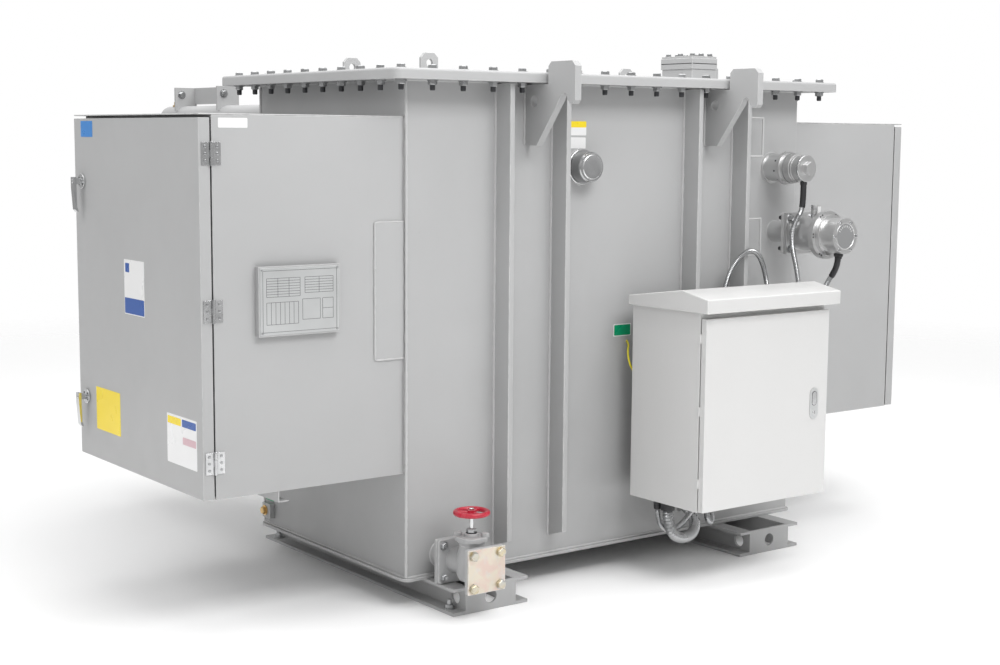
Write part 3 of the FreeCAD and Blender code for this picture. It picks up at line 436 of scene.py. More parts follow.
def softened(node: str, finish: Finish, width: float = 0.0015, segments: int = 2) -> bpy.types.Object:
    """Stands in for a CAD node with the same shape and rounded edges that carry wear and a painted highlight.

    Args:
        node: the CAD node.
        finish: the finish.
        width: the rounds' width, or 0 to leave the edges square.
        segments: faces across a round.

    Returns:
        The new piece.
    """
    source = frame["nodes"][node]
    mesh = bmesh.new()
    mesh.from_mesh(source.data)
    bmesh.ops.remove_doubles(mesh, verts=mesh.verts, dist=0.00002)
    bmesh.ops.dissolve_limit(mesh, angle_limit=math.radians(0.6), use_dissolve_boundaries=False,
                             verts=mesh.verts, edges=mesh.edges)
    if width > 0.0:
        round_edges(mesh, width, segments=segments)
    data = bpy.data.meshes.new(f"{node}_surface")
    mesh.to_mesh(data)
    mesh.free()
    body = source.parent.name.split(":", 1)[1]
    return piece(data, f"{node}_surface", finish, body, (node,), weighted=True)


def soften_all(finish: Finish, width: float, *nodes: str) -> None:
    """Softens several CAD nodes with one finish."""
    for node in nodes:
        softened(node, finish, width)


class Shape:
    """Collects closed solids in one mesh."""

    def __init__(self) -> None:
        """Starts empty."""
        self.mesh = bmesh.new()

    def loft(self, rings: list[list[Vector]]) -> "Shape":
        """Joins rings of equal count in order and closes both ends.

        Args:
            rings: rings of points.

        Returns:
            The shape itself.
        """
        loops = [[self.mesh.verts.new(point) for point in ring] for ring in rings]
        count = len(loops[0])
        for first, second in zip(loops, loops[1:]):
            for index in range(count):
                after = (index + 1) % count
                self.mesh.faces.new((first[index], first[after], second[after], second[index]))
        self.mesh.faces.new(list(reversed(loops[0])))
        self.mesh.faces.new(loops[-1])
        return self

    def box(self, low: Point, high: Point) -> "Shape":
        """Adds a box between two corners."""
        corners = ((low[0], low[1]), (high[0], low[1]), (high[0], high[1]), (low[0], high[1]))
        return self.loft([[Vector((x, y, z)) for x, y in corners] for z in (low[2], high[2])])

    def prism(self, outline: list[tuple[float, float]], axis: int, start: float, end: float) -> "Shape":
        """Adds a prism.

        Args:
            outline: points in the two other axes, in X, Y, Z order.
            axis: the axis that it runs along, 0 to 2.
            start: where it starts on that axis.
            end: where it ends.

        Returns:
            The shape itself.
        """
        rings = []
        for place in (start, end):
            ring = []
            for first, second in outline:
                values = [first, second]
                values.insert(axis, place)
                ring.append(Vector(values))
            rings.append(ring)
        return self.loft(rings)

    def turned(self, profile: list[tuple[float, float]], origin: Point, axis: Vector,
               segments: int = 40, phase: float = 0.0) -> "Shape":
        """Adds a turned solid.

        Args:
            profile: (radius, distance along the axis) pairs.
            origin: where the distance is 0.
            axis: the direction of the axis.
            segments: points round it; 6 gives a hexagon.
            phase: the first point's angle in degrees.

        Returns:
            The shape itself.
        """
        turn = axis.normalized().to_track_quat("Z", "Y").to_matrix()
        rings = []
        for radius, along in profile:
            ring = []
            for index in range(segments):
                angle = math.radians(phase) + 2 * math.pi * index / segments
                spot = Vector((radius * math.cos(angle), radius * math.sin(angle), along))
                ring.append(Vector(origin) + turn @ spot)
            rings.append(ring)
        return self.loft(rings)

    def finish(self, name: str, finish: Finish, body: str = HOUSING, width: float = 0.0,
               nodes: tuple[str, ...] = (), segments: int = 2) -> bpy.types.Object:
        """Rounds the edges and makes the piece.

        Args:
            name: the piece's name.
            finish: its finish.
            body: the body that it moves with.
            width: width of the rounds, 0 for none.
            nodes: the CAD nodes that it stands for.
            segments: faces across a round.

        Returns:
            The new object.
        """
        bmesh.ops.recalc_face_normals(self.mesh, faces=self.mesh.faces)
        if width:
            round_edges(self.mesh, width, segments=segments)
        data = bpy.data.meshes.new(name)
        self.mesh.to_mesh(data)
        self.mesh.free()
        return piece(data, name, finish, body, nodes, weighted=bool(width))


def rounded_outline(low: tuple[float, float], high: tuple[float, float], radius: float,
                    steps: int = 6) -> list[tuple[float, float]]:
    """Rectangle with rounded corners.

    Args:
        low: the lowest corner.
        high: the highest corner.
        radius: the corners' radius.
        steps: points to a corner.

    Returns:
        The outline, anticlockwise.
    """
    centres = ((high[0] - radius, high[1] - radius, 0.0), (low[0] + radius, high[1] - radius, 90.0),
               (low[0] + radius, low[1] + radius, 180.0), (high[0] - radius, low[1] + radius, 270.0))
    outline = []
    for x, y, start in centres:
        for step in range(steps + 1):
            angle = math.radians(start + 90.0 * step / steps)
            outline.append((x + radius * math.cos(angle), y + radius * math.sin(angle)))
    return outline


# ------------------------------------------------------------------ geometry nodes
class Graph:
    """A geometry-nodes tree with named inputs that ends in realised, finished geometry."""

    def __init__(self, name: str, sizes: dict[str, float | int]) -> None:
        """Starts the tree.

        Args:
            name: the tree's name.
            sizes: the inputs' names and first values; whole numbers make whole inputs.
        """
        self.group = bpy.data.node_groups.new(name, "GeometryNodeTree")
        face = self.group.interface
        face.new_socket(name="Geometry", in_out="INPUT", socket_type="NodeSocketGeometry")
        face.new_socket(name="Geometry", in_out="OUTPUT", socket_type="NodeSocketGeometry")
        for label, value in sizes.items():
            kind = "NodeSocketInt" if isinstance(value, int) else "NodeSocketFloat"
            face.new_socket(name=label, in_out="INPUT", socket_type=kind).default_value = value
        face.new_socket(name="Finish", in_out="INPUT", socket_type="NodeSocketMaterial")
        self.given = self.group.nodes.new("NodeGroupInput").outputs

    def add(self, kind: str, settings: dict[str, object] | None = None,
            inputs: dict[str | int, object] | None = None) -> bpy.types.Node:
        """Adds a node.

        Args:
            kind: the node's class name.
            settings: properties to set.
            inputs: values or outputs for its inputs, by name or index.

        Returns:
            The new node.
        """
        node = self.group.nodes.new(kind)
        for key, value in (settings or {}).items():
            setattr(node, key, value)
        for key, value in (inputs or {}).items():
            if isinstance(value, bpy.types.NodeSocket):
                self.group.links.new(value, node.inputs[key])
            else:
                node.inputs[key].default_value = value
        return node

    def maths(self, operation: str, first: object, second: object) -> bpy.types.NodeSocket:
        """One sum on two numbers or outputs."""
        return self.add("ShaderNodeMath", {"operation": operation}, {0: first, 1: second}).outputs[0]

    def raised(self, geometry: bpy.types.NodeSocket, height: object) -> bpy.types.NodeSocket:
        """Moves geometry up by a height."""
        place = self.add("ShaderNodeCombineXYZ", inputs={"Z": height}).outputs[0]
        return self.add("GeometryNodeTransform", inputs={"Geometry": geometry, "Translation": place}).outputs[0]

    def close(self, geometry: bpy.types.NodeSocket) -> None:
        """Ends the tree in Realize Instances and Set Material."""
        whole = self.add("GeometryNodeRealizeInstances", inputs={"Geometry": geometry})
        dressed = self.add("GeometryNodeSetMaterial", inputs={"Geometry": whole.outputs[0],
                                                              "Material": self.given["Finish"]})
        end = self.group.nodes.new("NodeGroupOutput")
        self.group.links.new(dressed.outputs[0], end.inputs[0])

    def grow(self, source: bpy.types.ID, values: dict[str, float | int], finish: Finish) -> bpy.types.Mesh:
        """Runs the tree on a mesh or curve.

        Args:
            source: the mesh or curve data that goes in.
            values: values for the named inputs.
            finish: the finish set by the tree.

        Returns:
            The result as a plain mesh.
        """
        base = bpy.data.objects.new("grown", source)
        bpy.context.scene.collection.objects.link(base)
        modifier = base.modifiers.new("grow", "NODES")
        modifier.node_group = self.group
        values = {**values, "Finish": finish.material()}
        for item in self.group.interface.items_tree:
            if item.item_type == "SOCKET" and item.in_out == "INPUT" and item.name in values:
                modifier[item.identifier] = values[item.name]
        graph = bpy.context.evaluated_depsgraph_get()
        mesh = bpy.data.meshes.new_from_object(base.evaluated_get(graph), preserve_all_data_layers=True,
                                               depsgraph=graph)
        base.modifiers.remove(modifier)
        bpy.data.objects.remove(base)
        return mesh


class FastenerGraph(Graph):
    """Bolts, nuts or screws on every point, turned at random about the point's axis."""

    def __init__(self) -> None:
        """Builds the tree."""
        super().__init__("fasteners", {"Sides": 6, "Head Radius": 0.0125, "Head Height": 0.009,
                                       "Washer Radius": 0.015, "Washer Height": 0.0025,
                                       "Shank Radius": 0.007, "Shank Start": 0.0, "Shank Length": 0.004,
                                       "Seed": 7})
        given = self.given
        full = self.maths("MULTIPLY", given["Head Height"], 0.8)
        crown = self.maths("MULTIPLY", given["Head Height"], 0.2)
        narrow = self.maths("MULTIPLY", given["Head Radius"], 0.84)
        head = self.cone(given["Sides"], given["Head Radius"], given["Head Radius"], full)
        head = self.raised(head, given["Washer Height"])
        top = self.cone(given["Sides"], narrow, given["Head Radius"], crown)
        top = self.raised(top, self.maths("ADD", given["Washer Height"], full))
        washer = self.cone(16, given["Washer Radius"], given["Washer Radius"], given["Washer Height"])
        shank = self.cone(10, given["Shank Radius"], given["Shank Radius"], given["Shank Length"])
        shank = self.raised(shank, given["Shank Start"])
        whole = self.add("GeometryNodeJoinGeometry")
        for part in (head, top, washer, shank):
            self.group.links.new(part, whole.inputs[0])
        axis = self.add("GeometryNodeInputNamedAttribute", {"data_type": "FLOAT_VECTOR"}, {"Name": "axis"})
        aligned = self.add("FunctionNodeAlignRotationToVector", {"axis": "Z"}, {"Vector": axis.outputs[0]})
        turn = self.add("FunctionNodeRandomValue", {"data_type": "FLOAT"},
                        {2: 0.0, 3: 2 * math.pi, "Seed": given["Seed"]})
        spin = self.add("FunctionNodeAxisAngleToRotation", inputs={"Axis": (0, 0, 1), "Angle": turn.outputs[1]})
        rotation = self.add("FunctionNodeRotateRotation", {"rotation_space": "LOCAL"},
                            {"Rotation": aligned.outputs[0], "Rotate By": spin.outputs[0]})
        placed = self.add("GeometryNodeInstanceOnPoints",
                          inputs={"Points": given["Geometry"], "Instance": whole.outputs[0],
                                  "Rotation": rotation.outputs[0]})
        self.close(placed.outputs[0])

    def cone(self, sides: object, top: object, bottom: object, depth: object) -> bpy.types.NodeSocket:
        """A capped frustum that stands on the origin."""
        return self.add("GeometryNodeMeshCone", {"fill_type": "NGON"},
                        {"Vertices": sides, "Radius Top": top, "Radius Bottom": bottom, "Depth": depth}).outputs[0]


@dataclass(frozen=True)
class Fastener:
    """Sizes of one kind of bolt, nut or screw, in metres."""

    sides: int = 6
    head_radius: float = 0.0125
    head_height: float = 0.009
    washer_radius: float = 0.0155
    washer_height: float = 0.0025
    shank_radius: float = 0.007
    shank_start: float = 0.0
    shank_length: float = 0.004

    def row(self, name: str, places: list[tuple[Point, Vector]], finish: Finish, body: str = HOUSING,
            seed: int = 7) -> bpy.types.Object:
        """Sets one of these at each place.

        Args:
            name: the piece's name.
            places: seats and outward axes.
            finish: the finish.
            body: the body that they move with.
            seed: for the random turns.

        Returns:
            One piece that holds them all.
        """
        points = bpy.data.meshes.new(name + "_points")
        points.from_pydata([place for place, _ in places], [], [])
        axis = points.attributes.new("axis", "FLOAT_VECTOR", "POINT")
        axis.data.foreach_set("vector", [value for _, direction in places for value in direction])
        values = {"Sides": self.sides, "Head Radius": self.head_radius, "Head Height": self.head_height,
                  "Washer Radius": self.washer_radius, "Washer Height": self.washer_height,
                  "Shank Radius": self.shank_radius, "Shank Start": self.shank_start,
                  "Shank Length": self.shank_length, "Seed": seed}
        return piece(graphs().fasteners.grow(points, values, finish), name, finish, body)


ANCHOR_NUT = Fastener(head_radius=0.0135, head_height=0.012, washer_radius=0.019, washer_height=0.003,
                      shank_radius=0.008, shank_length=0.030)
EARTH_BOLT = Fastener(head_radius=0.0135, head_height=0.011, washer_radius=0.018, washer_height=0.003)
ROD_COLLAR = Fastener(sides=14, head_radius=0.006, head_height=0.004, washer_radius=0.008, washer_height=0.0015,
                      shank_radius=0.003, shank_length=0.001)
COVER_BOLT = Fastener(head_radius=0.0138, head_height=0.0105, washer_radius=0.0165, washer_height=0.003,
                      shank_radius=0.006, shank_length=0.004)
COVER_NUT = Fastener(head_radius=0.0145, head_height=0.012, washer_radius=0.0175, washer_height=0.0035,
                     shank_radius=0.008, shank_length=0.006)
COVER_BOLT_END = Fastener(sides=10, head_radius=0.0085, head_height=0.016, washer_radius=0.009,
                          washer_height=0.001, shank_radius=0.007, shank_length=0.001)
HANDHOLE_BOLT = Fastener(head_radius=0.0095, head_height=0.0085, washer_radius=0.012, washer_height=0.002)
HINGE_SCREW = Fastener(sides=12, head_radius=0.0042, head_height=0.0014, washer_radius=0.0046,
                       washer_height=0.0003, shank_radius=0.0015, shank_length=0.0019)
SMALL_SCREW = Fastener(sides=10, head_radius=0.0026, head_height=0.001, washer_radius=0.003,
                       washer_height=0.0003, shank_radius=0.001, shank_length=0.001)
NAMEPLATE_SCREW = Fastener(sides=12, head_radius=0.0036, head_height=0.0014, washer_radius=0.004,
                           washer_height=0.0003, shank_radius=0.001, shank_length=0.001)
STUD_SCREW = Fastener(sides=10, head_radius=0.0032, head_height=0.001, washer_radius=0.0036,
                      washer_height=0.0003, shank_radius=0.001, shank_length=0.001)
LEVEL_FLANGE_BOLT = Fastener(head_radius=0.0115, head_height=0.009, washer_radius=0.0145, washer_height=0.003)
LEVEL_FLANGE_NUT = Fastener(head_radius=0.012, head_height=0.010, washer_radius=0.014, washer_height=0.002,
                            shank_radius=0.007, shank_length=0.022)
LEVEL_END_SCREW = Fastener(head_radius=0.0052, head_height=0.004, washer_radius=0.0066, washer_height=0.001,
                           shank_radius=0.002, shank_length=0.004)
BLANK_PLATE_BOLT = Fastener(head_radius=0.0150, head_height=0.0115, washer_radius=0.0165, washer_height=0.0015)
VALVE_BOLT = Fastener(head_radius=0.011, head_height=0.009, washer_radius=0.014, washer_height=0.002)
VALVE_NUT = Fastener(head_radius=0.011, head_height=0.008, washer_radius=0.014, washer_height=0.002,
                     shank_radius=0.006, shank_length=0.016)
BONNET_BOLT = Fastener(head_radius=0.0125, head_height=0.011, washer_radius=0.0135, washer_height=0.001)
HEADER_BOLT = Fastener(head_radius=0.010, head_height=0.008, washer_radius=0.0125, washer_height=0.002)
HEADER_NUT = Fastener(head_radius=0.010, head_height=0.008, washer_radius=0.0125, washer_height=0.002,
                      shank_radius=0.006, shank_length=0.014)
RADIATOR_LUG_BOLT = Fastener(head_radius=0.012, head_height=0.010, washer_radius=0.016, washer_height=0.002)
VENT_PLUG = Fastener(head_radius=0.013, head_height=0.014, washer_radius=0.017, washer_height=0.006,
                     shank_radius=0.005, shank_length=0.026)


class BeadGraph(Graph):
    """Weld bead along a curve, with a slightly uneven ripple."""

    def __init__(self) -> None:
        """Builds the tree."""
        super().__init__("weld_beads", {"Radius": 0.004, "Ripple": 0.012, "Unevenness": 0.2, "Seed": 3})
        given = self.given
        spaced = self.add("GeometryNodeResampleCurve", {"mode": "LENGTH"},
                          {"Curve": given["Geometry"], "Length": given["Ripple"]})
        low = self.maths("SUBTRACT", 1.0, given["Unevenness"])
        high = self.maths("ADD", 1.0, given["Unevenness"])
        size = self.add("FunctionNodeRandomValue", {"data_type": "FLOAT"}, {2: low, 3: high, "Seed": given["Seed"]})
        profile = self.add("GeometryNodeCurvePrimitiveCircle", inputs={"Resolution": 6, "Radius": given["Radius"]})
        swept = self.add("GeometryNodeCurveToMesh", inputs={"Curve": spaced.outputs[0],
                                                            "Profile Curve": profile.outputs[0],
                                                            "Scale": size.outputs[1], "Fill Caps": True})
        self.close(swept.outputs[0])


class SheathGraph(Graph):
    """Ribbed conduit along part of a curve."""

    def __init__(self) -> None:
        """Builds the tree."""
        super().__init__("ribbed_sheath", {"Radius": 0.0095, "Rib Depth": 0.18, "Pitch": 0.003, "Sides": 14,
                                           "Start": 0.0, "End": 1.0})
        given = self.given
        cut = self.add("GeometryNodeTrimCurve", {"mode": "LENGTH"},
                       {0: given["Geometry"], 4: given["Start"], 5: given["End"]})
        spaced = self.add("GeometryNodeResampleCurve", {"mode": "LENGTH"},
                          {"Curve": cut.outputs[0], "Length": given["Pitch"]})
        index = self.add("GeometryNodeInputIndex").outputs[0]
        odd = self.maths("MODULO", index, 2.0)
        size = self.maths("SUBTRACT", 1.0, self.maths("MULTIPLY", odd, given["Rib Depth"]))
        profile = self.add("GeometryNodeCurvePrimitiveCircle",
                           inputs={"Resolution": given["Sides"], "Radius": given["Radius"]})
        swept = self.add("GeometryNodeCurveToMesh", inputs={"Curve": spaced.outputs[0],
                                                            "Profile Curve": profile.outputs[0],
                                                            "Scale": size, "Fill Caps": True})
        self.close(swept.outputs[0])


class BankGraph(Graph):
    """A row of equal radiator panels, one behind the other."""

    def __init__(self) -> None:
        """Builds the tree."""
        super().__init__("panel_bank", {"Count": 19, "Pitch": 0.05})
        given = self.given
        step = self.add("ShaderNodeCombineXYZ", inputs={"Y": given["Pitch"]}).outputs[0]
        line = self.add("GeometryNodeMeshLine", {"mode": "OFFSET"}, {"Count": given["Count"], "Offset": step})
        placed = self.add("GeometryNodeInstanceOnPoints",
                          inputs={"Points": line.outputs[0], "Instance": given["Geometry"]})
        self.close(placed.outputs[0])


@dataclass
class Graphs:
    """The geometry-nodes trees, built once."""

    fasteners: FastenerGraph = field(default_factory=FastenerGraph)
    beads: BeadGraph = field(default_factory=BeadGraph)
    sheath: SheathGraph = field(default_factory=SheathGraph)
    bank: BankGraph = field(default_factory=BankGraph)


_graphs: list[Graphs] = []


def graphs() -> Graphs:
    """The trees, made on first use."""
    if not _graphs:
        _graphs.append(Graphs())
    return _graphs[0]


def weld(name: str, paths: list[list[Point]], radius: float = 0.004, seed: int = 3) -> bpy.types.Object:
    """Lays weld beads.

    Args:
        name: the piece's name.
        paths: straight or bent runs.
        radius: the bead's radius.
        seed: for its unevenness.

    Returns:
        One piece that holds them all.
    """
    curve = bpy.data.curves.new(name + "_runs", "CURVE")
    curve.dimensions = "3D"
    for path in paths:
        run = curve.splines.new("POLY")
        run.points.add(len(path) - 1)
        for point, place in zip(run.points, path):
            point.co = (*place, 1.0)
    values = {"Radius": radius, "Ripple": 0.012, "Unevenness": 0.22, "Seed": seed}
    return piece(graphs().beads.grow(curve, values, WELD), name, WELD, angle=80.0)


def ring_path(centre: Point, radius: float, axis: int, steps: int = 28) -> list[Point]:
    """Closed circle round a point, square to an axis."""
    path = []
    for step in range(steps + 1):
        angle = 2 * math.pi * step / steps
        values = [centre[0], centre[1], centre[2]]
        first, second = [index for index in range(3) if index != axis]
        values[first] += radius * math.cos(angle)
        values[second] += radius * math.sin(angle)
        path.append(tuple(values))
    return path


def film(name: str, low: Point, high: Point, axis: int, finish: Finish, body: str = HOUSING,
         radius: float = 0.003) -> bpy.types.Object:
    """Lays a thin plain film with rounded corners.

    Args:
        name: the piece's name.
        low: its lowest corner.
        high: its highest corner, a fraction of a millimetre away along the axis.
        axis: the axis square to it.
        finish: its finish.
        body: the body that it moves with.
        radius: the corners' radius.

    Returns:
        The new piece.
    """
    others = [index for index in range(3) if index != axis]
    outline = rounded_outline((low[others[0]], low[others[1]]), (high[others[0]], high[others[1]]), radius, 3)
    return Shape().prism(outline, axis, low[axis], high[axis]).finish(name, finish, body)


# ------------------------------------------------------------------ sub-assemblies
@dataclass
class SkidBase:
    """Rolled channels, bottom plate, anchor bolts and the earth boss."""

    anchor_x: float = 0.738
    anchor_y: float = 0.545
    flange: float = 0.010
    boss_y: tuple[float, float] = (0.403, 0.459)
    boss_z: tuple[float, float] = (0.122, 0.174)
    wall_x: float = -0.830

    def build(self) -> None:
        """Makes the channels, the plate and their welds."""
        soften_all(GREY, 0.003, "skid_left", "skid_right")
        soften_all(GREY, 0.002, "base_plate")
        low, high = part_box("base_plate")
        seams = []
        for side in (-1.0, 1.0):
            for x in (0.474, 0.762):
                seams.append([(side * x, low.y + 0.01, low.z), (side * x, high.y - 0.01, low.z)])
        weld("skid_seams", seams, 0.004, 5)

    def dress(self) -> None:
        """Adds the anchor bolts, the earth boss and its label."""
        corners = [((sx * self.anchor_x, sy * self.anchor_y, self.flange), Z_AXIS)
                   for sx in (-1, 1) for sy in (-1, 1)]
        ANCHOR_NUT.row("anchor_nuts", corners, PLATED, seed=11)
        boss = Shape().box((self.wall_x - 0.020, self.boss_y[0], self.boss_z[0]),
                           (self.wall_x, self.boss_y[1], self.boss_z[1]))
        boss.finish("earth_boss", GREY, width=0.002)
        seat = (self.wall_x - 0.020, 0.438, 0.148)
        EARTH_BOLT.row("earth_bolt", [(seat, -X_AXIS)], BRASS)
        film("earth_label", (self.wall_x - 0.0005, 0.409, 0.180), (self.wall_x, 0.468, 0.200), 0, GREEN_FILM)


@dataclass
class Tank:
    """Welded tank with wall stiffeners and four lifting brackets."""

    left: float = -0.830
    right: float = 0.870
    front: float = -0.440
    rear: float = 0.475
    bottom: float = 0.096
    rim: float = 1.636
    stiffeners: tuple[float, ...] = (-0.494, -0.268, 0.311, 0.543)
    stiffener: float = 0.018
    brackets: tuple[float, ...] = (-0.380, 0.408)
    bracket: float = 0.025

    def build(self) -> None:
        """Makes the walls and what is welded to them."""
        soften_all(GREY, 0.002, "tank_front_wall", "tank_rear_wall", "tank_side_walls")
        soften_all(GREY, 0.0025, "front_stiffeners", "front_lifting_brackets", "rear_lifting_brackets")
        soften_all(GREY, 0.001, "tank_rim_flange", "cabinet_patch_plate", "cabinet_support_angle")
        softened("cable_rods", WELD, 0.0005)
        frame["nodes"]["core_and_windings"].data.materials.clear()
        frame["nodes"]["core_and_windings"].data.materials.append(CORE.material())

    def dress(self) -> None:
        """Adds the weld beads, rod clips and plain labels."""
        top = self.rim - 0.004
        fillets = []
        for x in self.stiffeners:
            for edge in (x, x + self.stiffener):
                fillets.append([(edge, self.front, 0.156), (edge, self.front, top)])
        for x in self.brackets:
            for edge in (x, x + self.bracket):
                fillets.append([(edge, self.front, 1.442), (edge, self.front, top)])
                fillets.append([(edge, self.rear, 1.442), (edge, self.rear, top)])
        weld("stiffener_beads", fillets, 0.0056, 4)
        corners = [[(x, y, self.bottom + 0.002), (x, y, top)]
                   for x, y in ((self.left, self.front), (self.left, self.rear), (self.right, self.rear))]
        weld("corner_beads", corners, 0.0052, 6)
        foot = self.bottom + 0.001
        around = [(self.left, self.front, foot), (self.right, self.front, foot),
                  (self.right, self.rear, foot), (self.left, self.rear, foot), (self.left, self.front, foot)]
        under = [(x, y, self.rim + 0.001) for x, y, _ in around]
        weld("rim_and_foot_beads", [around, under], 0.0045, 8)
        patch_low, patch_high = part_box("cabinet_patch_plate")
        y = patch_low.y + 0.002
        outline = [(patch_high.x, y, patch_high.z), (patch_low.x, y, patch_high.z),
                   (patch_low.x, y, patch_low.z), (patch_high.x, y, patch_low.z)]
        weld("patch_beads", [outline], 0.0035, 9)
        face = self.front
        film("oil_label_body", (-0.192, face - 0.0006, 1.474), (-0.125, face, 1.505), 1, WHITE_FILM)
        film("oil_label_band", (-0.192, face - 0.0008, 1.500), (-0.125, face, 1.520), 1, YELLOW_FILM)
        film("tap_label", (-0.192, face - 0.0006, 1.432), (-0.127, face, 1.468), 1, WHITE_FILM)
        film("earth_wire_label_edge", (0.006, face - 0.0006, 0.800), (0.084, face, 0.842), 1, WHITE_FILM)
        film("earth_wire_label", (0.009, face - 0.0009, 0.803), (0.081, face, 0.839), 1, GREEN_FILM)
        rods = [((0.561, -0.500, z), X_AXIS) for z in (1.406, 1.540, 1.056, 1.186)]
        ROD_COLLAR.row("rod_collars", rods, PLATED)


@dataclass
class Cover:
    """Bolted cover with its bolt circle, lugs and hand-hole."""

    inset: float = 0.050
    top: float = 1.669
    underside: float = 1.637
    long_count: int = 17
    short_count: int = 10
    lugs_x: tuple[float, ...] = (-0.598, 0.646)
    lugs_y: tuple[float, ...] = (-0.218, 0.253)

    def build(self) -> None:
        """Makes the cover, lugs and hand-hole."""
        softened("cover", GREY, 0.002)
        soften_all(GREY, 0.0025, "cover_lifting_lugs", "handhole_neck", "handhole_cover")

    def places(self) -> list[tuple[float, float]]:
        """Where the cover's bolts stand, in X and Y."""
        low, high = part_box("cover")
        left, right = low.x + self.inset, high.x - self.inset
        front, rear = low.y + self.inset, high.y - self.inset
        spots = []
        for index in range(self.long_count):
            x = left + (right - left) * index / (self.long_count - 1)
            spots += [(x, front), (x, rear)]
        for index in range(1, self.short_count - 1):
            y = front + (rear - front) * index / (self.short_count - 1)
            spots += [(left, y), (right, y)]
        return spots

    def dress(self) -> None:
        """Adds bolts with nuts below, hand-hole bolts, seams and welds."""
        spots = self.places()
        heads = [((x, y, self.top - 0.0005), Z_AXIS) for x, y in spots]
        COVER_BOLT.row("cover_bolts", heads, PLATED, seed=21)
        below = [((x, y, self.underside), -Z_AXIS) for x, y in spots]
        COVER_NUT.row("cover_nuts", below, PLATED, seed=22)
        tips = [((x, y, self.underside - 0.0152), -Z_AXIS) for x, y in spots]
        COVER_BOLT_END.row("cover_bolt_ends", tips, BLACKENED)
        low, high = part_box("handhole_cover")
        xs = [low.x + 0.019 + (high.x - low.x - 0.038) * step / 2 for step in range(3)]
        ys = [low.y + 0.020, (low.y + high.y) / 2, high.y - 0.020]
        plan = [(x, y) for x in xs for y in ys if not (x == xs[1] and y == ys[1])]
        up = [((x, y, high.z), Z_AXIS) for x, y in plan]
        HANDHOLE_BOLT.row("handhole_bolts", up, PLATED, seed=23)
        split = low.z + 0.0185
        gasket = Shape().prism(rounded_outline((low.x - 0.0004, low.y - 0.0004), (high.x + 0.0004, high.y + 0.0004),
                                               0.004), 2, split, split + 0.0025)
        gasket.finish("handhole_gasket", RUBBER)
        feet = []
        for x in self.lugs_x:
            for y in self.lugs_y:
                for edge in (-0.006, 0.006):
                    feet.append([(x - 0.033, y + edge, self.top), (x + 0.033, y + edge, self.top)])
        neck_low, neck_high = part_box("handhole_neck")
        feet.append([(neck_low.x, neck_low.y, self.top), (neck_high.x, neck_low.y, self.top),
                     (neck_high.x, neck_high.y, self.top), (neck_low.x, neck_high.y, self.top),
                     (neck_low.x, neck_low.y, self.top)])
        weld("cover_beads", feet, 0.0035, 12)


